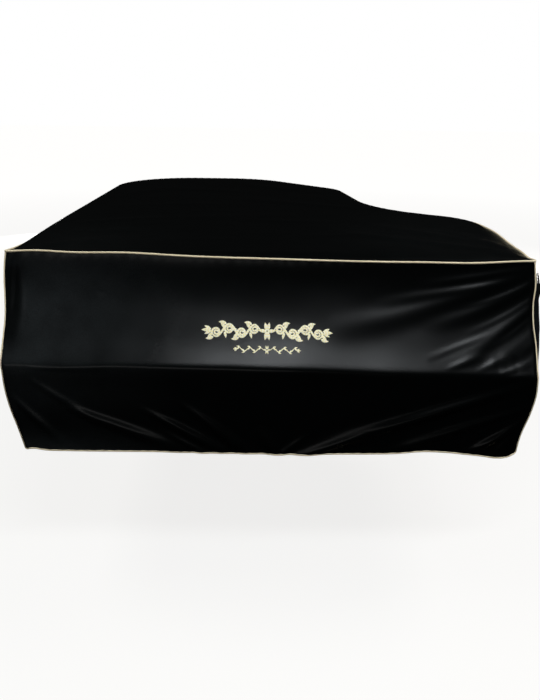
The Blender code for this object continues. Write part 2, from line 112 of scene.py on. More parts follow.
# Soft ridges in the cloth. On a wall, along is a length on the lid's edge from the anchor
Fold = namedtuple("Fold", "start_along start_drop end_along end_drop bow height half_width")
APRON_FOLDS = (
    Fold(0.850, -0.007, 0.141, 0.192, -0.023, 0.0054, 0.029),
    Fold(0.850, 0.000, 0.430, 0.175, -0.035, 0.0042, 0.020),
    Fold(0.850, 0.060, 0.470, 0.290, -0.024, 0.0042, 0.027),
    Fold(0.860, 0.150, 0.600, 0.300, 0.000, 0.0022, 0.020),
    Fold(-0.758, -0.060, -0.742, 0.235, -0.0265, 0.0040, 0.012),
    Fold(-0.620, 0.420, -0.240, 0.580, 0.000, 0.0090, 0.019),
    Fold(-0.390, 0.420, -0.110, 0.590, 0.000, 0.0080, 0.016),
    Fold(-0.270, 0.400, -0.030, 0.590, 0.000, 0.0060, 0.015),
    Fold(0.790, 0.320, 0.060, 0.580, 0.006, 0.0110, 0.022),
    Fold(0.780, 0.400, 0.330, 0.575, 0.000, 0.0085, 0.018),
    Fold(0.770, 0.440, 0.620, 0.580, 0.000, 0.0070, 0.016),
    Fold(-0.030, 0.480, 0.060, 0.640, 0.000, 0.0060, 0.024),
)
CHEEK_FOLDS = (
    Fold(-0.030, 0.040, 0.330, 0.320, 0.000, 0.0060, 0.018),
    Fold(-0.020, 0.340, 0.260, 0.680, 0.000, 0.0080, 0.022),
    Fold(0.380, 0.120, 0.400, 1.000, 0.000, 0.0080, 0.040),
    Fold(0.610, 0.150, 0.590, 1.000, 0.000, 0.0110, 0.048),
    Fold(0.860, 0.120, 0.870, 1.000, 0.000, 0.0090, 0.042),
    Fold(1.090, 0.140, 1.070, 1.000, 0.000, 0.0120, 0.048),
    Fold(1.330, 0.120, 1.350, 1.000, 0.000, 0.0080, 0.044),
    Fold(1.560, 0.150, 1.540, 1.000, 0.000, 0.0110, 0.046),
)
SPINE_FOLDS = (
    Fold(-0.030, 0.050, 0.290, 0.350, 0.000, 0.0060, 0.018),
    Fold(-0.020, 0.360, 0.230, 0.680, 0.000, 0.0080, 0.022),
    Fold(0.360, 0.140, 0.380, 1.000, 0.000, 0.0090, 0.044),
    Fold(0.620, 0.120, 0.610, 1.000, 0.000, 0.0070, 0.040),
    Fold(0.840, 0.150, 0.870, 1.000, 0.000, 0.0120, 0.050),
    Fold(1.150, 0.130, 1.130, 1.000, 0.000, 0.0080, 0.044),
    Fold(1.390, 0.150, 1.410, 1.000, 0.000, 0.0110, 0.048),
    Fold(1.650, 0.130, 1.640, 1.000, 0.000, 0.0080, 0.044),
)
TAIL_FOLDS = (
    Fold(0.060, 0.130, 0.050, 1.000, 0.000, 0.0100, 0.046),
    Fold(0.310, 0.150, 0.330, 1.000, 0.000, 0.0080, 0.042),
    Fold(0.540, 0.120, 0.520, 1.000, 0.000, 0.0120, 0.048),
    Fold(0.780, 0.140, 0.790, 1.000, 0.000, 0.0090, 0.044),
    Fold(1.000, 0.150, 0.980, 1.000, 0.000, 0.0100, 0.044),
)
# The cloth swells out beside the front corners, high on the cheek's side and low on the spine's
CHEEK_SWELLS = (
    Fold(0.040, -0.050, 0.040, 0.350, 0.000, 0.0290, 0.023),
    Fold(0.060, 0.045, 0.660, 0.045, 0.000, 0.0100, 0.050),
)
SPINE_SWELLS = (Fold(0.055, 0.330, 0.055, 0.780, 0.000, 0.0130, 0.032),)
# On the top, along is x and drop is the depth behind the front edge
TOP_FOLDS = (
    Fold(0.740, 0.090, 0.180, 0.420, 0.020, 0.0045, 0.030),
    Fold(0.700, 0.200, 0.330, 0.560, 0.000, 0.0040, 0.028),
    Fold(0.250, 0.560, -0.160, 0.600, 0.010, 0.0030, 0.030),
    Fold(-0.720, 0.480, -0.380, 0.640, 0.000, 0.0030, 0.030),
    Fold(-0.740, 0.060, -0.480, 0.240, 0.000, 0.0035, 0.030),
)
# A fold starts this share as wide as it ends, and folds die out this near to a corner piping
NARROW_START = 0.50
SEAM_EASE = 0.012
TOP_FOLD_INSET = 0.052

# Small folds that the solids leave out: crumples by the crease's right end, drags from the right
# corner, the crisp fold by the left corner, dashes at the upper left, and drags above the hem
APRON_CREASES = (
    Fold(0.500, 0.288, 0.620, 0.250, 0.000, 0.0016, 0.0110),
    Fold(0.590, 0.294, 0.690, 0.256, 0.000, 0.0014, 0.0110),
    Fold(0.650, 0.256, 0.664, 0.300, 0.000, -0.0012, 0.0120),
    Fold(0.655, 0.302, 0.765, 0.268, 0.003, 0.0014, 0.0110),
    Fold(0.700, 0.256, 0.722, 0.296, 0.000, -0.0012, 0.0120),
    Fold(0.640, 0.322, 0.750, 0.306, 0.000, 0.0020, 0.0110),
    Fold(0.850, 0.095, 0.600, 0.262, 0.000, -0.0018, 0.0120),
    Fold(0.850, 0.170, 0.700, 0.268, 0.000, 0.0018, 0.0120),
    Fold(-0.744, 0.000, -0.768, 0.175, -0.0065, 0.0064, 0.0085),
    Fold(0.800, 0.035, 0.520, 0.130, -0.020, 0.0010, 0.0070),
    Fold(0.800, 0.080, 0.560, 0.200, -0.015, 0.0011, 0.0070),
    Fold(0.790, 0.135, 0.620, 0.240, -0.010, 0.0010, 0.0070),
    Fold(0.640, 0.200, 0.440, 0.262, 0.000, 0.0010, 0.0080),
    Fold(0.780, 0.016, 0.420, 0.070, 0.000, 0.0030, 0.0120),
    Fold(0.700, 0.060, 0.300, 0.118, 0.004, 0.0028, 0.0140),
    Fold(-0.616, 0.064, -0.560, 0.070, 0.000, -0.0016, 0.0070),
    Fold(-0.510, 0.100, -0.470, 0.112, 0.000, -0.0016, 0.0070),
    Fold(-0.640, 0.150, -0.590, 0.162, 0.000, -0.0012, 0.0080),
    Fold(-0.700, 0.300, -0.450, 0.296, 0.002, 0.0020, 0.0100),
    Fold(-0.760, 0.380, -0.640, 0.560, 0.000, 0.0050, 0.0160),
    Fold(-0.700, 0.330, -0.480, 0.500, 0.000, 0.0036, 0.0140),
    Fold(-0.200, 0.470, -0.060, 0.590, 0.000, 0.0040, 0.0110),
    Fold(0.120, 0.500, 0.020, 0.590, 0.000, 0.0040, 0.0110),
    Fold(0.700, 0.345, 0.300, 0.490, 0.004, 0.0030, 0.0120),
    Fold(0.770, 0.470, 0.560, 0.590, 0.000, 0.0036, 0.0120),
    Fold(0.745, 0.500, 0.690, 0.590, 0.000, 0.0034, 0.0100),
    Fold(0.300, 0.490, 0.020, 0.610, 0.000, 0.0070, 0.0150),
    Fold(-0.330, 0.500, -0.130, 0.620, 0.000, 0.0045, 0.0130),
)
TOP_CREASES = (
    Fold(0.060, 0.290, 0.400, 0.322, 0.010, 0.0018, 0.020),
    Fold(0.340, 0.372, 0.600, 0.322, 0.008, 0.0020, 0.020),
    Fold(0.520, 0.440, 0.720, 0.310, 0.008, 0.0022, 0.020),
    Fold(0.600, 0.400, 0.755, 0.090, 0.010, 0.0024, 0.020),
    Fold(0.420, 0.230, 0.745, 0.050, 0.010, 0.0020, 0.024),
    Fold(-0.700, 0.320, -0.420, 0.356, 0.008, 0.0018, 0.020),
    Fold(-0.400, 0.190, 0.100, 0.240, 0.012, 0.0016, 0.028),
    Fold(-0.720, 0.860, -0.060, 0.980, 0.030, 0.0024, 0.044),
    Fold(0.410, 0.900, -0.140, 1.160, 0.024, 0.0028, 0.040),
    Fold(-0.640, 1.460, 0.060, 1.300, 0.034, 0.0026, 0.046),
    Fold(0.250, 1.360, -0.240, 1.800, 0.026, 0.0030, 0.044),
    Fold(-0.750, 1.050, -0.420, 1.560, 0.022, 0.0024, 0.042),
    Fold(-0.560, 0.560, 0.280, 0.700, 0.036, 0.0020, 0.050),
)

# The ornament on the apron, in millimetres of cloth from the middle of its row, mirrored: a wavy
# stem with a curl in each of its hollows, and leaves. Rows: place, and the size of each part
ORNAMENT_X = -0.009
ORNAMENT_FLATTENED = 0.87
Row = namedtuple("Row", "drop start half_wave waves height stem curl leaf")
ORNAMENT_ROWS = (
    Row(0.1960, 18, 37.0, 4, 18.0, 3.6, 13.5, 24.0),
    Row(0.2420, 11, 15.5, 5, 5.0, 1.6, 0.0, 10.5),
)
STEM_TIP = 0.35
CURL_HEADING = 22
CURL_SWEEP = 560
CURL_CLOSING = 0.80
CURL_POWER = 0.75
CURL_WIDTH = 0.95
CURL_NARROWS = 0.35
EYE_SHARE = 0.75
EYE_PLACE = 0.95
EYE_REACH = 0.035
LEAF_WIDTH = 0.21
LEAF_SKEW = 0.8
LEAF_FULLNESS = 0.85
LEAF_TIP = 0.05
# Leaves: x and rise from a place some half waves along, heading, bend in degrees, and size as a
# share of the row's leaf. The lean is added to the heading above and below the stem alike
Leaf = namedtuple("Leaf", "half_waves x rise heading lean bend size")
CURL_LEAVES = (
    Leaf(0.5, 8, 18, 38, 0, -46, 1.0),
    Leaf(1.0, -8, 6, 52, 0, -10, 0.9),
    Leaf(1.0, -4, -4, -62, -60, 30, 0.8),
)
STEM_LEAVES = (
    Leaf(0.5, -2, 5, 50, 0, -60, 1.0),
    Leaf(0.5, 0, 4, -40, 0, 50, 1.0),
)
END_LEAVES = (
    Leaf(0, -2, 0, 0, 0, 0, 1.1),
    Leaf(0, -2, 0, 48, 0, -30, 0.9),
    Leaf(0, -2, 0, -48, 0, 30, 0.9),
)
MIDDLE_LEAVES = (
    Leaf(0, 1.2, -1, 8, 0, 0, 1.05),
    Leaf(0, 1.2, 1, 78, 0, 0, 1.05),
    Leaf(0, 1.2, -1, -78, 0, 0, 1.05),
)
STROKE_SAMPLES = 110
STROKE_SIDES = 9
THREAD_RIDGE = 0.0024
THREAD_RIDGE_SHARE = 0.10
STITCH_BASE = 0.4

# Where the hem hangs lower, or higher where the size is negative
Bump = namedtuple("Bump", "along size half_width")
FRONT_HEM = (
    Bump(0.720, 0.009, 0.060),
    Bump(0.500, -0.012, 0.120),
    Bump(0.000, 0.003, 0.200),
    Bump(-0.745, -0.007, 0.030),
)
CHEEK_HEM = (
    Bump(0.000, -0.013, 0.022),
    Bump(0.350, -0.006, 0.120),
    Bump(0.900, 0.006, 0.160),
    Bump(1.400, -0.005, 0.140),
)
SPINE_HEM = (
    Bump(0.300, 0.005, 0.120),
    Bump(0.800, -0.006, 0.160),
    Bump(1.400, 0.006, 0.180),
)
TAIL_HEM = (
    Bump(0.100, -0.004, 0.120),
    Bump(0.600, 0.006, 0.160),
)
# Where the top piping lies lower or higher than its dips say. The cloth under it takes this up
FRONT_SETTLE = (
    Bump(-0.690, -0.0078, 0.100),
    Bump(-0.430, -0.0058, 0.140),
    Bump(0.600, 0.0064, 0.125),
)
CHEEK_SETTLE = (
    Bump(0.060, 0.0060, 0.045),
    Bump(0.380, -0.0150, 0.170),
)
SETTLE_FADE = 0.050
# Where the top rolls down to its piping more gently
FRONT_ROLL = (
    Bump(-0.450, 0.045, 0.450),
    Bump(0.450, 0.060, 0.450),
)
CHEEK_ROLL = (Bump(0.200, 0.045, 0.220),)
SEAM_TUCK = 0.0026

# Unevenness of hanging cloth: waves of many directions, from a fixed seed
WAVE_SEED = 11
WAVE_COUNT = 16
WAVE_LENGTHS = (0.090, 0.420)
WAVE_HEIGHT_SHARE = 0.0020
PUCKER_LENGTH = 0.034
PUCKER_HEIGHT = 0.0005
PUCKER_REACH = 0.012
PUCKER_DRIFTS = ((1.0, 23.7), (0.6, 61.3))
TOP_WAVES_SHARE = 0.6
TOP_WAVES_SHIFT = 5
TUCK = 0.0012
TUCK_REACH = 0.0035

# Shares of a piping's radius: how far the panels' edges lie inside it, and how far the corner
# piping's ends stop short of the piping above and below
WALL_EDGE_TUCK = 0.55
TOP_EDGE_TUCK = 0.45
CORNER_START = 0.8
CORNER_END = 0.6
# The piping swells between the turns of its cover, at slightly uneven lengths
PLUMP_SHARE = 0.035
PLUMP_LENGTH = 0.021
PLUMP_DRIFT = 0.8
PLUMP_DRIFT_RATE = 17

# Where the apron gets the lighter pile colour: painted light on its left part above the crease, where
# the slope faces up to the light, and two lighter bands below the crease on the far left
Edge = namedtuple("Edge", "place softness")
Band = namedtuple("Band", "share drop half_width")
PAINTED_LIGHT_SIDE = Edge(-0.470, 0.130)
PAINTED_LIGHT_BAND = Band(0.88, 0.180, 0.200)
PAINTED_LIGHT_CREASE = Edge(0.310, 0.012)
LOWER_BANDS_SIDE = Edge(-0.500, 0.090)
LOWER_BANDS = (Band(0.35, 0.380, 0.080), Band(0.80, 0.580, 0.060))
# Painted shade: a darker strip beside the left corner's fold, which leans outwards
PAINTED_SHADE_SHARE = 0.85
PAINTED_SHADE_SIDE = Edge(-0.714, 0.005)
PAINTED_SHADE_LEAN = 0.30
PAINTED_SHADE_START = Edge(0.035, 0.008)
PAINTED_SHADE_END = Edge(0.250, 0.015)
# Painted sheen: two lighter patches on the top, near the front corners
Patch = namedtuple("Patch", "share x depth half_width half_depth")
TOP_PAINTED_SHEEN = (
    Patch(0.075, -0.620, 0.100, 0.220, 0.350),
    Patch(0.070, 0.520, 0.300, 0.260, 0.400),
)
TOP_NAP = 0.003
WALL_NAP = 0.25

# The grids' steps
FINE_STEP = 0.0034
APRON_STEP = 0.0062
APRON_ROWS = 132
FINE_ENDS = 0.230
WALL_STEP = 0.0075
WALL_FINE_ENDS = 0.060
WALL_ROWS = 84
TOP_COLUMNS = 168
TOP_ROWS = 212
TOP_CROWDING = 0.702
ROW_CROWDING = 1.6
EDGE_ROWS_REACH = 0.02
CREASE_ROWS_REACH = 0.04
ROW_SAMPLES = 2001
SIDE_SAMPLES = 4001
PIPING_STEP = 0.0045
PIPING_SIDES = 12
SHORT_STEP = 0.0005
EDGE_SAMPLE = 0.004

# The floor, 1.028 m under the lid
FLOOR_Z = -1.028
FLOOR_HALF = 30.0
FLOOR_BOUNCE = 0.01

# Soft boxes: where each hangs, what it points at, its size, its power and its colour
Light = namedtuple("Light", "name place target width height power colour")
LIGHTS = (
    Light("key_box", (0.88, -2.86, 2.76), (0.30, -1.1, -0.27), 2.7, 0.34, 100, "#F6FBFF"),
    Light("front_strip", (-1.10, -4.40, -0.50), (-0.4, -1.0, -0.4), 2.6, 0.7, 9, "#FFFEFB"),
    Light("left_box", (-3.00, -0.40, 2.90), (-0.7, 0.0, -0.3), 1.8, 1.4, 70, "#FBFEFC"),
    Light("right_box", (3.30, 0.30, 3.00), (0.6, 0.0, -0.3), 1.8, 1.4, 80, "#FFFCF8"),
    Light("left_strip", (-4.20, 2.30, -0.62), (-0.7, 0.3, -0.3), 1.2, 0.7, 40, "#FBFEFC"),
    Light("right_strip", (3.80, 3.20, -0.62), (0.5, 0.4, -0.3), 1.2, 0.7, 40, "#FFFCF8"),
    Light("tail_strip", (-2.20, 4.80, -0.72), (-0.3, 0.9, -0.3), 1.2, 0.5, 30, "#FBFEFC"),
)
WORLD_FILL = 0.005

# The camera: its place, and how far it looks down, to the side and rolls, in degrees
CAMERA_PLACE = (-0.013, -2.919, 0.439)
CAMERA_PITCH = 20.53
CAMERA_YAW = -0.37
CAMERA_ROLL = 0.81
CAMERA_LENS = 35.08


class Outline:
    """The lid's edge as straight runs and round corners, walked anticlockwise from above."""

    def __init__(self, corners):
        points = np.array([(c.x, c.depth) for c in corners])
        radii = np.array([c.radius for c in corners])
        runs = np.roll(points, -1, axis=0) - points
        lengths = np.hypot(runs[:, 0], runs[:, 1])
        headings = np.arctan2(runs[:, 1], runs[:, 0])
        before = np.roll(headings, 1)
        turns = (headings - before + np.pi) % (2 * np.pi) - np.pi
        cuts = radii * np.tan(np.abs(turns) / 2)
        arcs = radii * np.abs(turns)
        straights = lengths - cuts - np.roll(cuts, -1)
        back = np.stack([np.cos(before), np.sin(before)], axis=1)
        ahead = np.stack([np.cos(headings), np.sin(headings)], axis=1)
        arc_starts = points - cuts[:, None] * back
        run_starts = points + cuts[:, None] * ahead
        pieces = 2 * len(corners)
        self.points = np.stack([arc_starts, run_starts], axis=1).reshape(pieces, 2)
        self.headings = np.stack([before, headings], axis=1).reshape(pieces)
        self.bends = np.stack([np.sign(turns) / radii, 0 * radii], axis=1).reshape(pieces)
        stretches = np.stack([arcs, straights], axis=1).reshape(pieces)
        self.starts = np.concatenate([[0], np.cumsum(stretches)[:-1]])
        self.total = float(stretches.sum())
        self.middles = self.starts[::2] + arcs / 2

    def at(self, along):
        """Place x and depth, and heading, at a length along the edge."""
        local = np.mod(along, self.total)
        piece = np.searchsorted(self.starts, local, side="right") - 1
        step = local - self.starts[piece]
        turn = self.bends[piece] * step
        chord = step * np.sinc(turn / (2 * np.pi))
        middle = self.headings[piece] + turn / 2
        x = self.points[piece, 0] + chord * np.cos(middle)
        depth = self.points[piece, 1] + chord * np.sin(middle)
        return x, depth, self.headings[piece] + turn

    def away(self, along, anchor):
        """Signed length from an anchor, the short way round."""
        half = self.total / 2
        return np.mod(along - anchor + half, self.total) - half


LID_EDGE = Outline(LID)
LEFT_SEAM = LID_EDGE.middles[FRONT_LEFT]
RIGHT_SEAM = LID_EDGE.middles[FRONT_RIGHT]
HIP_SEAM = LID_EDGE.middles[HIP]
TAIL_SEAM = LID_EDGE.middles[TAIL_LEFT]
LEFT_SEAM_AGAIN = LEFT_SEAM + LID_EDGE.total
FRONT_MIDDLE = (LEFT_SEAM + RIGHT_SEAM) / 2

# The rows above, with the anchor that each set is measured from, the way it runs, and how deep
# the trough beside each ridge is
FOLD_SETS = (
    (APRON_FOLDS, FRONT_MIDDLE, 1, 0.25),
    (APRON_CREASES, FRONT_MIDDLE, 1, 0.25),
    (CHEEK_FOLDS, RIGHT_SEAM, 1, 1),
    (SPINE_FOLDS, LEFT_SEAM_AGAIN, -1, 1),
    (TAIL_FOLDS, TAIL_SEAM, -1, 1),
    (CHEEK_SWELLS, RIGHT_SEAM, 1, 0),
    (SPINE_SWELLS, LEFT_SEAM_AGAIN, -1, 0),
)
HEM_SETS = (
    (FRONT_HEM, FRONT_MIDDLE, 1),
    (CHEEK_HEM, RIGHT_SEAM, 1),
    (SPINE_HEM, LEFT_SEAM, -1),
    (TAIL_HEM, TAIL_SEAM, -1),
)
SETTLE_SETS = (
    (FRONT_SETTLE, FRONT_MIDDLE, 1),
    (CHEEK_SETTLE, RIGHT_SEAM, 1),
)
ROLL_SETS = (
    (FRONT_ROLL, FRONT_MIDDLE, 1),
    (CHEEK_ROLL, RIGHT_SEAM, 1),
)


def smooth_rows(at, places, values):
    """A smooth curve through the rows of a table: cubics that share the table's slopes."""
    places = np.asarray(places)
    values = np.asarray(values)
    slopes = np.gradient(values, places)
    row = np.clip(np.searchsorted(places, at, side="right") - 1, 0, len(places) - 2)
    gap = places[row + 1] - places[row]
    share = np.clip((at - places[row]) / gap, 0, 1)
    rest = 1 - share
    start = (values[row] * (1 + 2 * share) + slopes[row] * gap * share) * rest**2
    end = (values[row + 1] * (1 + 2 * rest) - slopes[row + 1] * gap * rest) * share**2
    return start + end


def bell(offset, half_width):
    """A soft bump of height 1, which falls to about a third at one half width."""
    return np.exp(-((offset / half_width) ** 2))


def below(value, edge):
    """A soft step: 1 well below an edge's place, and 0 well above it."""
    return 1 / (1 + np.exp((value - edge.place) / edge.softness))


def ridge(fold, along, drop, trough):
    """A soft ridge with a shallow trough on each side, narrow at its start, fading at its ends."""
    run_along = fold.end_along - fold.start_along
    run_drop = fold.end_drop - fold.start_drop
    length = np.hypot(run_along, run_drop)
    from_along = along - fold.start_along
    from_drop = drop - fold.start_drop
    share = np.clip((from_along * run_along + from_drop * run_drop) / length**2, 0, 1)
    side = (from_drop * run_along - from_along * run_drop) / length
    side = side - fold.bow * 4 * share * (1 - share)
    width = fold.half_width * (NARROW_START + (1 - NARROW_START) * share)
    across = (side / width) ** 2
    return fold.height * np.sin(np.pi * share) * (1 - trough * across) * np.exp(-across / 2)


def waves(along, drop):
    """Unevenness: a sum of plane waves, each as high as a small share of its length."""
    chance = np.random.default_rng(WAVE_SEED)
    height = 0 * (along + drop)
    for _ in range(WAVE_COUNT):
        length = np.exp(chance.uniform(*np.log(WAVE_LENGTHS)))
        turn = chance.uniform(0, np.pi)
        phase = chance.uniform(0, 2 * np.pi)
        place = (along * np.cos(turn) + drop * np.sin(turn)) / length
        height = height + WAVE_HEIGHT_SHARE * length * np.sin(2 * np.pi * place + phase)
    return height / np.sqrt(WAVE_COUNT) * 2


def pucker(along, distance):
    """Small gathers beside a sewn seam: waves along it that die out a finger's width away."""
    uneven = sum(share * np.sin(along * rate) for share, rate in PUCKER_DRIFTS)
    wave = np.sin(2 * np.pi * along / PUCKER_LENGTH + uneven)
    return PUCKER_HEIGHT * wave * bell(distance, PUCKER_REACH)


def fold_height(along, drop):
    """How far the folds lift a wall outwards. They die out at the lid's edge and corner seams."""
    height = waves(along, drop)
    for folds, anchor, way, trough in FOLD_SETS:
        local = way * LID_EDGE.away(along, anchor)
        for fold in folds:
            height = height + ridge(fold, local, drop, trough)
    for seam in (LEFT_SEAM, RIGHT_SEAM):
        height = height * (1 - bell(LID_EDGE.away(along, seam), SEAM_EASE))
    return height * (1 - np.exp(-np.maximum(drop, 0) / FOLD_START))


def seam_dip(along):
    """How far the top piping lies below the top."""
    front = LEFT_SEAM + np.array(FRONT_DIP_SHARES) * (RIGHT_SEAM - LEFT_SEAM)
    corners = LID_EDGE.middles[SHOULDER:]
    cheek = RIGHT_SEAM + CHEEK_DIP_PLACE
    spine = LEFT_SEAM_AGAIN - SPINE_DIP_PLACE
    places = [*front, cheek, *corners, spine, LEFT_SEAM_AGAIN]
    dips = [*FRONT_DIPS, CHEEK_DIP, *SIDE_DIPS, SPINE_DIP, FRONT_DIPS[0]]
    return smooth_rows(np.mod(along - LEFT_SEAM, LID_EDGE.total) + LEFT_SEAM, places, dips)


def bumps_at(sets, along):
    """The sum of a table's soft bumps at a length along the lid's edge."""
    total = 0 * along
    for bumps, anchor, way in sets:
        local = way * LID_EDGE.away(along, anchor)
        for bump in bumps:
            total = total + bump.size * bell(local - bump.along, bump.half_width)
    return total


def hem_drop(along):
    """The drop of the hem from the seam above it."""
    return HEM_DROP - seam_dip(along) + bumps_at(HEM_SETS, along)


def reach(x, drop):
    """How far the front stands out: a growing flare down to the crease, then slightly in again."""
    crease = CREASE_DROP + CREASE_FALL * np.maximum(x, 0) ** 2
    flare = CREASE_REACH * (np.maximum(drop, 0) / crease) ** REACH_POWER
    hang = CREASE_REACH - DRAWN_IN * (drop - crease)
    return -CREASE_SOFTNESS * np.logaddexp(-flare / CREASE_SOFTNESS, -hang / CREASE_SOFTNESS)


def wall_point(along, drop, lift=0):
    """The middle of the cloth at a length along the lid's edge and a drop below its piping."""
    x, depth, heading = LID_EDGE.at(along)
    drops, left, right = np.array(SIDES).T
    side = np.where(x < 0, smooth_rows(drop, drops, left), smooth_rows(drop, drops, right))
    widen = 1 + side / HALF_WIDTH * bell(depth, SIDE_FADE_DEPTH)
    slide = reach(x, drop) * np.clip(1 - depth / REACH_FADE_DEPTH, 0, 1) ** 2
    out = fold_height(along, drop) + lift
    place_x = x * widen + out * np.sin(heading)
    place_depth = depth - slide - out * np.cos(heading)
    settle = bumps_at(SETTLE_SETS, along) * np.exp(-np.maximum(drop, 0) / SETTLE_FADE)
    z = CLOTH / 2 - seam_dip(along) - drop - settle
    return np.stack(np.broadcast_arrays(place_x, place_depth - MIDDLE_DEPTH, z), axis=-1)


def stations(first, last, step, fine_ends):
    """Lengths from first to last, closer together near both ends."""
    at = np.linspace(0, 1, int(np.ceil((last - first) / SHORT_STEP)) + 1)
    along = first + (last - first) * at
    nearness = np.minimum(along - first, last - along) / fine_ends
    spacing = FINE_STEP + (step - FINE_STEP) * np.clip(nearness * 2 - 1, 0, 1)
    count = np.cumsum(1 / spacing)
    wanted = np.linspace(count[0], count[-1], int((count[-1] - count[0]) * (at[1] * (last - first))) + 1)
    return np.interp(wanted, count, along)


def add_piece(name, points, faces, pattern, material):
    """A smooth mesh with one material, and its flat pattern in metres as its UV map."""
    mesh = bpy.data.meshes.new(name)
    mesh.from_pydata(points.reshape(-1, 3), [], faces.reshape(-1, 4))
    mesh.uv_layers.new(name="pattern").data.foreach_set("uv", pattern.reshape(-1))
    mesh.shade_smooth()
    mesh.materials.append(material)
    piece = bpy.data.objects.new(name, mesh)
    bpy.context.collection.objects.link(piece)
    return piece


def quads(grid):
    """The four corners of each cell in a grid that ends in rows, columns and a last axis."""
    near = grid[..., :-1, :-1, :], grid[..., :-1, 1:, :]
    far = grid[..., 1:, 1:, :], grid[..., 1:, :-1, :]
    return np.stack([*near, *far], axis=-2)


def grid_mesh(name, points, flat, material, closed=(False, False)):
    """A mesh from a grid of points, or from many grids of one size, closed round if it says so."""
    number = np.arange(points[..., 0].size).reshape(*points.shape[:-1], 1)
    for axis in (0, 1):
        if closed[axis]:
            number = np.concatenate([number, number.take([0], axis)], axis=axis)
            flat = np.concatenate([flat, flat.take([0], axis)], axis=axis)
    return add_piece(name, points, quads(number), quads(flat), material)


def add_values(piece, name, values):
    """Stores one number for each of a grid's points, for its material to read."""
    layer = piece.data.attributes.new(name, "FLOAT", "POINT")
    layer.data.foreach_set("value", np.asarray(values, dtype=float).reshape(-1))


def thicken(piece, thickness):
    """Gives a sheet its thickness, half to each side."""
    solid = piece.modifiers.new("Thickness", "SOLIDIFY")
    solid.thickness = thickness
    solid.offset = 0
    solid.use_even_offset = False


def edge_near_piping(seam, way, rows, radius):
    """The edge of a wall that is tucked against a corner piping."""
    return seam + way * WALL_EDGE_TUCK * radius + 0 * rows


def edge_at_seam(seam, way, rows, radius):
    """The edge of a wall at a plain seam, where it meets the next panel."""
    return seam + 0 * way * radius * rows


def wall_surface(columns, rows, edges, sizes):
    """A wall's points: columns along the lid's edge and rows down to the hem.

    The first and last column follow the edges given for them, and the rows run from just under
    the top piping to just above the hem piping.
    """
    radius = sizes.piping / 2
    hem_radius = sizes.hem_piping / 2
    share = rows[:, None]
    first = edges[0](columns[0], 1, share, radius)
    last = edges[1](columns[-1], -1, share, radius)
    at = (columns - columns[0]) / (columns[-1] - columns[0])
    along = first + (last - first) * at[None, :]
    top = WALL_EDGE_TUCK * radius
    bottom = hem_drop(along) - WALL_EDGE_TUCK * hem_radius
    drop = top + share * (bottom - top)
    gathers = pucker(along, drop) + pucker(along + PUCKER_LENGTH / 3, hem_drop(along) - drop)
    for seam, edge in ((columns[0], edges[0]), (columns[-1], edges[1])):
        if edge is edge_at_seam:
            gathers = gathers - TUCK * bell(along - seam, TUCK_REACH)
            gathers = gathers + pucker(drop, along - seam)
    points = wall_point(along, drop, gathers * sizes.gathers)
    return points, np.stack([along, drop], axis=-1)


def wall_rows(count):
    """Shares of a wall's height, closer together at the top, at the crease and at the hem."""
    at = np.linspace(0, 1, ROW_SAMPLES)
    near = bell(at, EDGE_ROWS_REACH) + bell(1 - at, EDGE_ROWS_REACH)
    near = near + bell(at - CREASE_DROP / HEM_DROP, CREASE_ROWS_REACH)
    along = np.cumsum(1 + ROW_CROWDING * near)
    along = (along - along[0]) / (along[-1] - along[0])
    return np.interp(np.linspace(0, 1, count), along, at)


def pile_tone_and_painted_light(along, drop):
    """Share of lighter pile colour on the apron, 0 to 1: painted light and shade, and two low bands."""
    x = LID_EDGE.away(along, FRONT_MIDDLE)
    # Painted light on the upper slope's left part, ending at the crease
    upper = PAINTED_LIGHT_BAND.share * bell(drop - PAINTED_LIGHT_BAND.drop, PAINTED_LIGHT_BAND.half_width)
    upper = upper * below(x, PAINTED_LIGHT_SIDE) * below(drop, PAINTED_LIGHT_CREASE)
    lower = sum(band.share * bell(drop - band.drop, band.half_width) for band in LOWER_BANDS)
    lower = lower * below(x, LOWER_BANDS_SIDE)
    # Painted shade in a strip beside the left corner's fold
    painted_shade = below(x + PAINTED_SHADE_LEAN * drop**2, PAINTED_SHADE_SIDE)
    painted_shade = painted_shade * (1 - below(drop, PAINTED_SHADE_START)) * below(drop, PAINTED_SHADE_END)
    return np.clip((upper + lower) * (1 - PAINTED_SHADE_SHARE * painted_shade), 0, 1)


def top_tone_and_painted_sheen(x, depth):
    """Share of lighter pile colour on the top, 0 to 1: an even low share, with painted sheen in two
    patches.
    """
    total = TOP_NAP + 0 * x
    for patch in TOP_PAINTED_SHEEN:
        across = bell(x - patch.x, patch.half_width)
        total = total + patch.share * across * bell(depth - patch.depth, patch.half_depth)
    return total


def inset_from_edge(points):
    """How far plan points lie inside the lid's edge, and the length along it that is nearest."""
    edge = np.arange(0, LID_EDGE.total, EDGE_SAMPLE)
    x, depth, _ = LID_EDGE.at(edge)
    corner = np.stack([x, depth], axis=-1)
    square = (corner**2).sum(axis=1)
    gap = (points**2).sum(axis=1)[:, None] + square[None, :] - 2 * points @ corner.T
    near = gap.argmin(axis=1)
    return np.sqrt(np.maximum(gap.min(axis=1), 0)), edge[near]


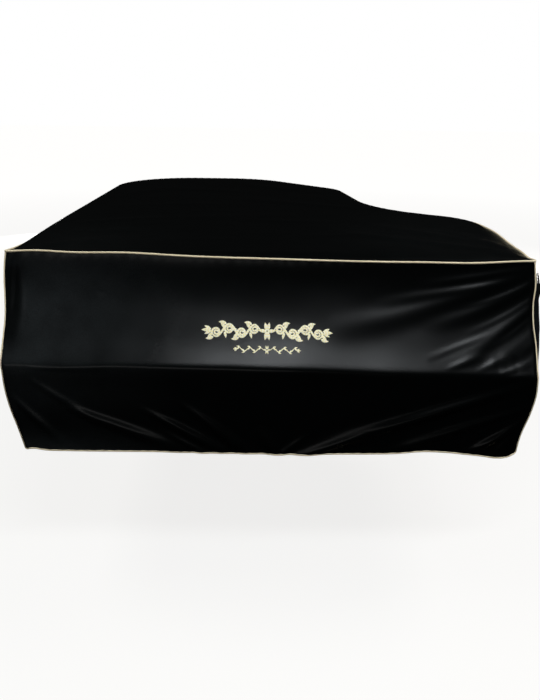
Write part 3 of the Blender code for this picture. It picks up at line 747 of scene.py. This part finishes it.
def top_surface(sizes):
    """The top: a patch between four stretches of the lid's edge, flat with low folds.

    Each inside point is the blend of the points opposite it on the front, right, back and left
    stretches, less the blend of the four corners. Near the edge the cloth rolls down to the
    piping.
    """
    tuck = TOP_EDGE_TUCK * sizes.piping / 2

    def plan(along):
        x, depth, heading = LID_EDGE.at(along)
        return np.stack([x - tuck * np.sin(heading), depth + tuck * np.cos(heading)], axis=-1)

    def eased(count):
        at = np.linspace(0, 1, count)
        return at - TOP_CROWDING * np.sin(2 * np.pi * at) / (2 * np.pi)

    corners = (LEFT_SEAM, RIGHT_SEAM, LID_EDGE.middles[TAIL_RIGHT], TAIL_SEAM)
    across = eased(TOP_COLUMNS)
    deep = eased(TOP_ROWS)
    front = plan(corners[0] + across * (corners[1] - corners[0]))
    back = plan(corners[3] + across * (corners[2] - corners[3]))

    def by_depth(first, last):
        along = np.linspace(first, last, SIDE_SAMPLES)
        edge = plan(along)
        share = (edge[:, 1] - edge[0, 1]) / (edge[-1, 1] - edge[0, 1])
        return np.stack([np.interp(deep, share, edge[:, part]) for part in (0, 1)], axis=-1)

    right = by_depth(corners[1], corners[2])
    left = by_depth(LEFT_SEAM_AGAIN, corners[3])
    u = across[None, :, None]
    v = deep[:, None, None]
    sides = (1 - u) * left[:, None] + u * right[:, None]
    ends = (1 - v) * front[None] + v * back[None]
    four = (1 - v) * ((1 - u) * front[0] + u * front[-1]) + v * ((1 - u) * back[0] + u * back[-1])
    flat = sides + ends - four
    inset, nearest = inset_from_edge(flat.reshape(-1, 2))
    inset = inset.reshape(flat.shape[:2])
    nearest = nearest.reshape(flat.shape[:2])
    height = TOP_WAVES_SHARE * waves(flat[..., 0] + TOP_WAVES_SHIFT, flat[..., 1])
    for fold in TOP_FOLDS + TOP_CREASES:
        height = height + ridge(fold, flat[..., 0], flat[..., 1], 0)
    height = height * np.clip(inset / TOP_FOLD_INSET, 0, 1) ** 2
    height = height + pucker(nearest, inset) * sizes.gathers
    roll_width = ROLL_WIDTH + bumps_at(ROLL_SETS, nearest)
    roll = np.clip(1 - inset / roll_width, 0, 1) ** 2
    dip = seam_dip(nearest) + bumps_at(SETTLE_SETS, nearest)
    z = CLOTH / 2 + height - (dip + SEAM_TUCK) * roll
    points = np.stack([flat[..., 0], flat[..., 1] - MIDDLE_DEPTH, z], axis=-1)
    return points, flat


def cord_surface(path, radius, closed):
    """A covered cord: a circle carried along a path, drawn in a little at each turn of its cover.

    The frame at each point is the path's direction, the level direction square to it, and the
    one square to both.
    """
    if closed:
        ahead = np.roll(path, -1, axis=0) - np.roll(path, 1, axis=0)
    else:
        ahead = np.gradient(path, axis=0)
    ahead = ahead / np.linalg.norm(ahead, axis=1, keepdims=True)
    steps = np.linalg.norm(np.diff(path, axis=0), axis=1)
    length = np.concatenate([[0], np.cumsum(steps)])
    lean = np.array([0.0, 0.0, 1.0]) if closed else np.array([0.0, -1.0, 0.0])
    side = np.cross(ahead, lean)
    side = side / np.linalg.norm(side, axis=1, keepdims=True)
    up = np.cross(side, ahead)
    turn = np.linspace(0, 2 * np.pi, PIPING_SIDES, endpoint=False)
    drift = PLUMP_DRIFT * np.sin(length * PLUMP_DRIFT_RATE)
    plump = 1 + PLUMP_SHARE * np.sin(2 * np.pi * length / PLUMP_LENGTH + drift)
    round_side = np.cos(turn)[None, :, None] * side[:, None]
    round_up = np.sin(turn)[None, :, None] * up[:, None]
    points = path[:, None] + radius * plump[:, None, None] * (round_side + round_up)
    flat = np.stack(np.broadcast_arrays(length[:, None], turn[None, :] / (2 * np.pi)), axis=-1)
    return points, flat


def wavy_stem(row, at):
    """The stem of one half of a row: a sine, and its half width, which tapers at both ends."""
    x = row.start + at * row.half_wave * row.waves
    rise = row.height * np.sin(np.pi * at * row.waves)
    taper = np.sqrt(np.sin(np.pi * np.clip(at, 0.01, 0.99)))
    return x, rise, row.stem * (STEM_TIP + (1 - STEM_TIP) * taper)


def curl(row, hollow, at):
    """A curl in a hollow of the stem: it leaves the stem's far side and winds in to an eye."""
    side = 1 - 2 * (hollow % 2)
    middle = row.start + (hollow + 0.5) * row.half_wave
    turn = np.radians(CURL_HEADING - CURL_SWEEP * at)
    radius = row.curl * (1 - CURL_CLOSING * at**CURL_POWER)
    x = middle + radius * np.cos(turn)
    rise = side * (row.height - row.curl + radius * np.sin(turn))
    eye = EYE_SHARE * bell(at - EYE_PLACE, EYE_REACH)
    return x, rise, row.stem * (CURL_WIDTH - CURL_NARROWS * at + eye)


def leaf(x, rise, heading, length, bend, at):
    """A pointed leaf: a line that bends by one angle, widest two fifths of the way along."""
    turn = np.radians(heading + bend * at)
    step = length / len(at)
    width = LEAF_WIDTH * length * np.sin(np.pi * at**LEAF_SKEW) ** LEAF_FULLNESS + LEAF_TIP
    return x + np.cumsum(np.cos(turn)) * step, rise + np.cumsum(np.sin(turn)) * step, width


def leaves(row, table, start, side, at):
    """The leaves of a table, from a place along the row. A side of -1 turns them upside down."""
    return [
        leaf(start + row.half_wave * one.half_waves + one.x, side * one.rise,
             side * one.heading + one.lean, one.size * row.leaf, side * one.bend, at)
        for one in table
    ]


def row_strokes(row):
    """One half of a row: the stem, its curls and its leaves, with a lozenge at the middle."""
    at = np.linspace(0, 1, STROKE_SAMPLES)
    strokes = [wavy_stem(row, at)]
    for hollow in range(row.waves):
        if row.curl:
            strokes.append(curl(row, hollow, at))
        table = CURL_LEAVES if row.curl else STEM_LEAVES
        start = row.start + hollow * row.half_wave
        strokes += leaves(row, table, start, 1 - 2 * (hollow % 2), at)
    strokes += leaves(row, END_LEAVES, row.start + row.waves * row.half_wave, 1, at)
    strokes += leaves(row, MIDDLE_LEAVES, 0, 1, at)
    return strokes


def embroidery_surface(sizes):
    """Raised satin stitch on the apron: each stroke is a low dome across its middle line.

    A stroke's points stand off its middle line by its half width times the sine of an even
    angle, and off the cloth by the relief times the cosine, with a small ridge for each thread.
    The strokes are mirrored about the row's middle.
    """
    bend = np.linspace(-np.pi / 2, np.pi / 2, STROKE_SIDES)[None, None, :]
    points = []
    flats = []
    for row in ORNAMENT_ROWS:
        lines = np.array(row_strokes(row)) / 1000
        x, rise, half_width = (lines[:, part, :, None] for part in range(3))
        run_x = np.gradient(x, axis=1)
        run_rise = np.gradient(rise, axis=1)
        step = np.hypot(run_x, run_rise)
        length = np.cumsum(step, axis=1)
        offset = half_width * np.sin(bend)
        thread = 1 + THREAD_RIDGE_SHARE * np.cos(2 * np.pi * length / THREAD_RIDGE)
        lift = STITCH_BASE * CLOTH + sizes.ornament_relief * np.cos(bend) * thread
        flat = np.stack(np.broadcast_arrays(length, offset), axis=-1)
        for mirror in (1, -1):
            across = mirror * (x - run_rise / step * offset)
            up = rise + run_x / step * offset
            drop = row.drop - up * ORNAMENT_FLATTENED
            place = wall_point(FRONT_MIDDLE + ORNAMENT_X + across, drop, lift)
            points.append(place[:, ::mirror])
            flats.append(flat[:, ::mirror])
    return np.concatenate(points), np.concatenate(flats)


def linear(code):
    """Linear red, green, blue and alpha from an sRGB hex value such as #E8D9B5."""
    values = np.array([int(code[i : i + 2], 16) for i in (1, 3, 5)]) / 255
    low = values / 12.92
    high = ((values + 0.055) / 1.055) ** 2.4
    return (*np.where(values <= 0.04045, low, high), 1.0)


def node(tree, kind, settings=None, links=None):
    """Adds a shader node with its settings, and links its inputs to the outputs given."""
    made = tree.nodes.new(kind)
    for name, value in (settings or {}).items():
        if name in made.inputs.keys():
            made.inputs[name].default_value = value
        elif isinstance(name, int):
            made.inputs[name].default_value = value
        else:
            setattr(made, name, value)
    for name, output in (links or {}).items():
        tree.links.new(output, made.inputs[name])
    return made


def new_material(name):
    """An empty material with its output node."""
    material = bpy.data.materials.new(name)
    material.use_nodes = True
    material.node_tree.nodes.clear()
    return material, material.node_tree


def cotton_velvet(colours):
    """Black cotton velvet, woven with a short cut pile and brushed one way.

    The eye sees a deep black that turns grey where a stored share mixes in lighter pile, evenly on the
    walls and as painted light and shade on the apron and top, in soft blotches some 60 to 120 mm
    across, and a soft gleam where the folds turn to the light.
    """
    material, tree = new_material("cotton_velvet")
    place = node(tree, "ShaderNodeTexCoord").outputs["Object"]
    # Stored share of lighter pile: even on the walls, painted light and shade on the apron and top
    brushed = node(tree, "ShaderNodeAttribute", {"attribute_name": "pile_tone_and_painted_light"}).outputs["Fac"]
    # Blotches of pressed pile, 90 mm across
    blotch = node(
        tree,
        "ShaderNodeTexNoise",
        {"Scale": 1 / 0.090, "Detail": 3.0, "Roughness": 0.5},
        {"Vector": place},
    ).outputs["Fac"]
    spread = node(
        tree,
        "ShaderNodeMapRange",
        {"From Min": 0.25, "From Max": 0.75, "To Min": 0.6, "To Max": 1.1},
        {"Value": blotch},
    ).outputs["Result"]
    # Tufts of pile are 0.4 mm apart, drawn 3 mm apart so that they show
    tufts = node(
        tree,
        "ShaderNodeTexNoise",
        {"Scale": 1 / 0.003, "Detail": 2.0, "Roughness": 0.7},
        {"Vector": place},
    ).outputs["Fac"]
    raised = node(tree, "ShaderNodeMath", {"operation": "MULTIPLY"}, {0: brushed, 1: spread})
    grain = node(
        tree,
        "ShaderNodeMapRange",
        {"From Min": 0.3, "From Max": 0.7, "To Min": 0.7, "To Max": 1.3},
        {"Value": tufts},
    ).outputs["Result"]
    light_share = node(
        tree, "ShaderNodeMath", {"operation": "MULTIPLY"}, {0: raised.outputs[0], 1: grain}
    ).outputs[0]
    colour = node(
        tree,
        "ShaderNodeMix",
        {"data_type": "RGBA", 6: (*colours.pile, 1), 7: (*colours.lighter_pile_and_painted_light, 1)},
        {0: light_share},
    ).outputs[2]
    rough = node(
        tree,
        "ShaderNodeMapRange",
        {"From Min": 0.2, "From Max": 0.8, "To Min": 0.250, "To Max": 0.276},
        {"Value": blotch},
    ).outputs["Result"]
    bump = node(
        tree,
        "ShaderNodeBump",
        {"Strength": 0.35, "Distance": 0.0002},
        {"Height": tufts},
    ).outputs["Normal"]
    shader = node(
        tree,
        "ShaderNodeBsdfPrincipled",
        {
            "Metallic": 0.0,
            "Specular IOR Level": 0.15,
            "Sheen Weight": 0.004,
            "Sheen Roughness": 0.45,
            "Sheen Tint": (*colours.pile_sheen, 1),
        },
        {"Base Color": colour, "Roughness": rough, "Normal": bump},
    )
    node(tree, "ShaderNodeOutputMaterial", {}, {"Surface": shader.outputs[0]})
    return material


def bias_satin(colours):
    """Champagne satin cut on the bias and sewn round a cord.

    The eye sees a pale warm gleam along the cord, crossed by slanting floats of the weave, and
    a faint dark line at each gather.
    """
    material, tree = new_material("bias_satin")
    flat = node(tree, "ShaderNodeUVMap", {"uv_map": "pattern"}).outputs["UV"]
    # Floats slant across the cord: 0.3 mm apart in real satin, drawn 4.9 mm apart to show
    stretched = node(
        tree, "ShaderNodeMapping", {"Scale": (1 / 0.0024, 8.0, 1.0)}, {"Vector": flat}
    ).outputs["Vector"]
    floats = node(
        tree,
        "ShaderNodeTexWave",
        {"wave_type": "BANDS", "bands_direction": "DIAGONAL", "Scale": 0.31, "Distortion": 0.6},
        {"Vector": stretched},
    ).outputs["Fac"]
    soil = node(
        tree, "ShaderNodeTexNoise", {"Scale": 14.0, "Detail": 3.0}, {"Vector": flat}
    ).outputs["Fac"]
    share = node(
        tree,
        "ShaderNodeMapRange",
        {"From Min": 0.3, "From Max": 0.75, "To Min": 0.0, "To Max": 0.55},
        {"Value": soil},
    ).outputs["Result"]
    colour = node(
        tree,
        "ShaderNodeMix",
        {"data_type": "RGBA", 6: (*colours.satin, 1), 7: (*colours.satin_shade, 1)},
        {0: share},
    ).outputs[2]
    bump = node(
        tree, "ShaderNodeBump", {"Strength": 0.30, "Distance": 0.0003}, {"Height": floats}
    ).outputs["Normal"]
    shader = node(
        tree,
        "ShaderNodeBsdfPrincipled",
        {"Roughness": 0.42, "Specular IOR Level": 0.45, "Sheen Weight": 0.15, "Sheen Roughness": 0.4},
        {"Base Color": colour, "Normal": bump},
    )
    node(tree, "ShaderNodeOutputMaterial", {}, {"Surface": shader.outputs[0]})
    return material


def rayon_thread(colours):
    """Pale gold rayon embroidery thread, laid side by side in satin stitch.

    The eye sees fine ridges across each leaf and scroll, and a silky gleam that moves as the
    ridges turn.
    """
    material, tree = new_material("rayon_thread")
    flat = node(tree, "ShaderNodeUVMap", {"uv_map": "pattern"}).outputs["UV"]
    # Threads are 0.4 mm apart, drawn 7.5 mm apart so that they show
    ridges = node(
        tree,
        "ShaderNodeTexWave",
        {"wave_type": "BANDS", "bands_direction": "X", "Scale": 0.3125 / 0.0075, "Distortion": 0.4},
        {"Vector": flat},
    ).outputs["Fac"]
    # Painted shade between the thread ridges, and painted light on their tops, over the ridges' bump
    colour = node(
        tree,
        "ShaderNodeMix",
        {"data_type": "RGBA", 6: (*colours.thread_shade, 1), 7: (*colours.thread, 1)},
        {0: ridges},
    ).outputs[2]
    bump = node(
        tree, "ShaderNodeBump", {"Strength": 0.5, "Distance": 0.0004}, {"Height": ridges}
    ).outputs["Normal"]
    shader = node(
        tree,
        "ShaderNodeBsdfPrincipled",
        {"Roughness": 0.36, "Specular IOR Level": 0.5, "Sheen Weight": 0.1},
        {"Base Color": colour, "Normal": bump},
    )
    node(tree, "ShaderNodeOutputMaterial", {}, {"Surface": shader.outputs[0]})
    return material


def studio_paper(colours):
    """Matt studio paper, lit until it is nearly white, which the eye sees as an even pale ground.

    The paper throws little light back up at the dark cloth, so that its folds keep their depth.
    """
    material, tree = new_material("studio_paper")
    place = node(tree, "ShaderNodeTexCoord").outputs["Object"]
    fibres = node(
        tree, "ShaderNodeTexNoise", {"Scale": 40.0, "Detail": 4.0}, {"Vector": place}
    ).outputs["Fac"]
    bump = node(
        tree, "ShaderNodeBump", {"Strength": 0.05, "Distance": 0.0005}, {"Height": fibres}
    ).outputs["Normal"]
    # The paper gets lighter from 2 m to 9 m away, where it meets the white surround
    far = node(
        tree, "ShaderNodeVectorMath", {"operation": "LENGTH"}, {0: place}
    ).outputs["Value"]
    glow = node(
        tree,
        "ShaderNodeMapRange",
        {"From Min": 2.0, "From Max": 9.0, "To Min": 0.84, "To Max": 1.0},
        {"Value": far},
    ).outputs["Result"]
    seen = node(tree, "ShaderNodeLightPath").outputs["Is Camera Ray"]
    strength = node(tree, "ShaderNodeMath", {"operation": "MULTIPLY"}, {0: glow, 1: seen})
    ground = node(
        tree,
        "ShaderNodeMix",
        {"data_type": "RGBA", 6: (FLOOR_BOUNCE, FLOOR_BOUNCE, FLOOR_BOUNCE, 1), 7: (*colours.floor, 1)},
        {0: seen},
    ).outputs[2]
    shader = node(
        tree,
        "ShaderNodeBsdfPrincipled",
        {
            "Roughness": 0.9,
            "Specular IOR Level": 0.0,
            "Emission Color": (1.0, 0.995, 0.985, 1.0),
        },
        {"Base Color": ground, "Normal": bump, "Emission Strength": strength.outputs[0]},
    )
    node(tree, "ShaderNodeOutputMaterial", {}, {"Surface": shader.outputs[0]})
    return material


def length_property(name, description, default, low, high):
    """A length in metres that a user can change."""
    return bpy.props.FloatProperty(
        name=name, description=description, default=default, min=low, max=high,
        unit="LENGTH", subtype="DISTANCE", precision=4,
    )


def colour_property(name, description, code):
    """A colour that a user can change, from an sRGB hex value."""
    return bpy.props.FloatVectorProperty(
        name=name, description=description, default=linear(code)[:3], size=3, min=0, max=1,
        subtype="COLOR",
    )


class CoverSizes(bpy.types.PropertyGroup):
    """Sizes of the cover's cloth, piping and embroidery."""

    cloth: length_property("Cloth", "Thickness of the velvet", 0.0018, 0.001, 0.003)
    piping: length_property("Piping", "Diameter of the piping on the top and corners", 0.0062, 0.004, 0.010)
    hem_piping: length_property("Hem piping", "Diameter of the piping on the hem", 0.0052, 0.003, 0.008)
    gathers: bpy.props.FloatProperty(
        name="Gathers", description="Strength of the small gathers beside the seams",
        default=1.0, min=0, max=2, subtype="FACTOR",
    )
    ornament_relief: length_property("Relief", "How far the satin stitch stands up", 0.0014, 0.0005, 0.003)


class CoverColours(bpy.types.PropertyGroup):
    """Colours of the cover and the floor."""

    pile: colour_property("Pile", "Velvet pile that lies down", "#030404")
    # The lighter pile: an even tone on the walls, and painted light on the apron and top
    lighter_pile_and_painted_light: colour_property("Brushed pile", "Velvet pile that is brushed up", "#26292A")
    pile_sheen: colour_property("Pile sheen", "Tint of the pile's sheen", "#8E9693")
    satin: colour_property("Satin", "Satin of the piping", "#EFE0BF")
    satin_shade: colour_property("Satin shade", "Satin where it is gathered", "#CDB68C")
    thread: colour_property("Thread", "Embroidery thread in the light", "#FFFBE6")
    thread_shade: colour_property("Thread shade", "Embroidery thread between the ridges", "#FFF0B0")
    floor: colour_property("Floor", "Studio paper", "#6E6D6B")


def velvet():
    """The velvet, made once."""
    found = bpy.data.materials.get("cotton_velvet")
    return found or cotton_velvet(bpy.context.scene.cover_colours)


def satin():
    """The satin, made once."""
    found = bpy.data.materials.get("bias_satin")
    return found or bias_satin(bpy.context.scene.cover_colours)


def finish_sheet(piece, cad_node, sizes):
    """Gives a panel its thickness, hangs it on the root body and hides the solid it stands for."""
    thicken(piece, sizes.cloth)
    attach(piece, "root")
    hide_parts(cad_node)


class PIANOCOVER_OT_top(bpy.types.Operator):
    """Lay the top panel over the lid"""

    bl_idname = "piano_cover.top"
    bl_label = "Top panel"

    def execute(self, context):
        sizes = context.scene.cover_sizes
        points, flat = top_surface(sizes)
        piece = grid_mesh("velvet_top", points, flat, velvet())
        # The top's share holds painted sheen in two patches
        add_values(piece, "pile_tone_and_painted_light", top_tone_and_painted_sheen(flat[..., 0], flat[..., 1]))
        finish_sheet(piece, "top_panel", sizes)
        return {"FINISHED"}


class PIANOCOVER_OT_apron(bpy.types.Operator):
    """Hang the front apron, from the lid's edge out over the keyslip"""

    bl_idname = "piano_cover.apron"
    bl_label = "Front apron"

    def execute(self, context):
        sizes = context.scene.cover_sizes
        columns = stations(LEFT_SEAM, RIGHT_SEAM, APRON_STEP, FINE_ENDS)
        edges = (edge_near_piping, edge_near_piping)
        points, flat = wall_surface(columns, wall_rows(APRON_ROWS), edges, sizes)
        piece = grid_mesh("velvet_apron", points[::-1], flat[::-1], velvet())
        # The apron's share holds painted light and painted shade
        add_values(piece, "pile_tone_and_painted_light", pile_tone_and_painted_light(flat[::-1, :, 0], flat[::-1, :, 1]))
        finish_sheet(piece, "front_apron", sizes)
        return {"FINISHED"}


class PIANOCOVER_OT_walls(bpy.types.Operator):
    """Hang the side panels, along the curved side, the tail and the straight side"""

    bl_idname = "piano_cover.walls"
    bl_label = "Side panels"

    def execute(self, context):
        sizes = context.scene.cover_sizes
        walls = (
            ("velvet_bentside", "bentside_wall", RIGHT_SEAM, HIP_SEAM, edge_near_piping, edge_at_seam,
             (1.83, 0.60), 1.02),
            ("velvet_tail", "tail_wall", HIP_SEAM, TAIL_SEAM, edge_at_seam, edge_at_seam,
             (1.20, 0.60), 0.69),
            ("velvet_spine", "spine_wall", TAIL_SEAM, LEFT_SEAM_AGAIN, edge_at_seam, edge_near_piping,
             (1.92, 0.60), 1.10),
        )
        for name, cad_node, first, last, start, end, flat_size, area in walls:
            columns = stations(first, last, WALL_STEP, WALL_FINE_ENDS)
            points, flat = wall_surface(columns, wall_rows(WALL_ROWS), (start, end), sizes)
            piece = grid_mesh(name, points[::-1], flat[::-1], velvet())
            add_values(piece, "pile_tone_and_painted_light", 0 * flat[..., 0] + WALL_NAP)
            finish_sheet(piece, cad_node, sizes)
        return {"FINISHED"}


class PIANOCOVER_OT_piping(bpy.types.Operator):
    """Sew the satin piping round the lid's edge, down the front corners and round the hem"""

    bl_idname = "piano_cover.piping"
    bl_label = "Piping"

    def execute(self, context):
        sizes = context.scene.cover_sizes
        radius = sizes.piping / 2
        hem_radius = sizes.hem_piping / 2
        loop = np.arange(LEFT_SEAM, LEFT_SEAM_AGAIN - PIPING_STEP / 2, PIPING_STEP)
        share = np.linspace(0, 1, int(HEM_DROP / PIPING_STEP) + 1)

        def down(seam):
            first = CORNER_START * radius
            last = hem_drop(seam) - CORNER_END * radius
            return wall_point(seam, first + share * (last - first))

        cords = (
            ("satin_top_piping", "top_piping", wall_point(loop, 0 * loop), radius, True),
            ("satin_hem_piping", "hem_piping", wall_point(loop, hem_drop(loop)), hem_radius, True),
            ("satin_left_piping", "corner_piping_left", down(LEFT_SEAM), radius, False),
            ("satin_right_piping", "corner_piping_right", down(RIGHT_SEAM), radius, False),
        )
        for name, cad_node, path, thickness, closed in cords:
            points, flat = cord_surface(path, thickness, closed)
            piece = grid_mesh(name, points, flat, satin(), (closed, True))
            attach(piece, "root")
            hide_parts(cad_node)
        return {"FINISHED"}


class PIANOCOVER_OT_embroidery(bpy.types.Operator):
    """Embroider the apron with a plain scroll of leaves, in raised satin stitch"""

    bl_idname = "piano_cover.embroidery"
    bl_label = "Embroidery"

    def execute(self, context):
        points, flat = embroidery_surface(context.scene.cover_sizes)
        thread = rayon_thread(context.scene.cover_colours)
        piece = grid_mesh("embroidered_scroll", points, flat, thread)
        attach(piece, "root")
        return {"FINISHED"}


class PIANOCOVER_OT_stage(bpy.types.Operator):
    """Set up the floor, the studio light and the camera"""

    bl_idname = "piano_cover.stage"
    bl_label = "Stage"

    def execute(self, context):
        scene = context.scene
        signs = ((-1, -1), (1, -1), (1, 1), (-1, 1))
        corners = [(x * FLOOR_HALF, y * FLOOR_HALF, FLOOR_Z) for x, y in signs]
        mesh = bpy.data.meshes.new("floor")
        mesh.from_pydata(corners, [], [(0, 1, 2, 3)])
        mesh.materials.append(studio_paper(scene.cover_colours))
        floor = bpy.data.objects.new("floor", mesh)
        context.collection.objects.link(floor)
        set_world(scene)
        for light in LIGHTS:
            add_light(light)
        add_camera(scene)
        return {"FINISHED"}


def set_world(scene):
    """A white surround for the camera, and a dim one for the light that falls on the cloth."""
    world = bpy.data.worlds.new("studio")
    world.use_nodes = True
    tree = world.node_tree
    tree.nodes.clear()
    seen = node(tree, "ShaderNodeLightPath").outputs["Is Camera Ray"]
    strength = node(
        tree, "ShaderNodeMapRange", {"To Min": WORLD_FILL, "To Max": 1.0}, {"Value": seen}
    ).outputs["Result"]
    light = node(tree, "ShaderNodeBackground", {"Color": (1, 1, 1, 1)}, {"Strength": strength})
    node(tree, "ShaderNodeOutputWorld", {}, {"Surface": light.outputs[0]})
    scene.world = world
    scene.view_settings.view_transform = "Standard"
    scene.view_settings.look = "None"


def add_light(light):
    """A soft box that points at its target and isn't seen itself."""
    data = bpy.data.lights.new(light.name, "AREA")
    data.shape = "RECTANGLE"
    data.size = light.width
    data.size_y = light.height
    data.energy = light.power
    data.color = linear(light.colour)[:3]
    lamp = bpy.data.objects.new(light.name, data)
    bpy.context.collection.objects.link(lamp)
    lamp.matrix_world = facing(light.place, light.target)
    lamp.visible_camera = False


def facing(place, target):
    """The place and turn of a thing that looks from place to target, with its top up."""
    ahead = np.array(target) - np.array(place)
    ahead = ahead / np.linalg.norm(ahead)
    right = np.cross(ahead, (0, 0, 1))
    right = right / np.linalg.norm(right)
    up = np.cross(right, ahead)
    made = np.eye(4)
    made[:3, :] = np.column_stack([right, up, -ahead, place])
    return Matrix(made.tolist())


def add_camera(scene):
    """A camera in front, a little above the lid, from its pitch, yaw and roll."""
    pitch, yaw, roll = np.radians((CAMERA_PITCH, CAMERA_YAW, CAMERA_ROLL))
    ahead = np.array((-np.sin(yaw) * np.cos(pitch), np.cos(yaw) * np.cos(pitch), -np.sin(pitch)))
    level = np.array((np.cos(yaw), np.sin(yaw), 0))
    down = np.cross(ahead, level)
    right = level * np.cos(roll) - down * np.sin(roll)
    down = level * np.sin(roll) + down * np.cos(roll)
    made = np.eye(4)
    made[:3, :] = np.column_stack([right, -down, -ahead, CAMERA_PLACE])
    data = bpy.data.cameras.new("camera")
    data.lens = CAMERA_LENS
    data.sensor_width = 36
    camera = bpy.data.objects.new("camera", data)
    bpy.context.collection.objects.link(camera)
    camera.matrix_world = Matrix(made.tolist())
    scene.camera = camera


class PIANOCOVER_PT_panel(bpy.types.Panel):
    """The cover's sizes, colours and steps"""

    bl_label = "Piano Cover"
    bl_idname = "PIANOCOVER_PT_panel"
    bl_space_type = "VIEW_3D"
    bl_region_type = "UI"
    bl_category = "Piano Cover"

    def draw(self, context):
        for group in (context.scene.cover_sizes, context.scene.cover_colours):
            box = self.layout.box()
            for name in group.__annotations__:
                box.prop(group, name)
        for operator in OPERATORS:
            self.layout.operator(operator.bl_idname)


OPERATORS = (
    PIANOCOVER_OT_top,
    PIANOCOVER_OT_apron,
    PIANOCOVER_OT_walls,
    PIANOCOVER_OT_piping,
    PIANOCOVER_OT_embroidery,
    PIANOCOVER_OT_stage,
)
CLASSES = (CoverSizes, CoverColours, *OPERATORS, PIANOCOVER_PT_panel)


def register():
    """Adds the classes, and the sizes and colours to the scene."""
    for made in CLASSES:
        bpy.utils.register_class(made)
    bpy.types.Scene.cover_sizes = bpy.props.PointerProperty(type=CoverSizes)
    bpy.types.Scene.cover_colours = bpy.props.PointerProperty(type=CoverColours)


def unregister():
    """Takes them away again."""
    del bpy.types.Scene.cover_colours
    del bpy.types.Scene.cover_sizes
    for made in reversed(CLASSES):
        bpy.utils.unregister_class(made)


def main():
    """Builds the whole scene."""
    register()
    bpy.ops.piano_cover.top()
    bpy.ops.piano_cover.apron()
    bpy.ops.piano_cover.walls()
    bpy.ops.piano_cover.piping()
    bpy.ops.piano_cover.embroidery()
    bpy.ops.piano_cover.stage()


if __name__ == "__main__":
    main()
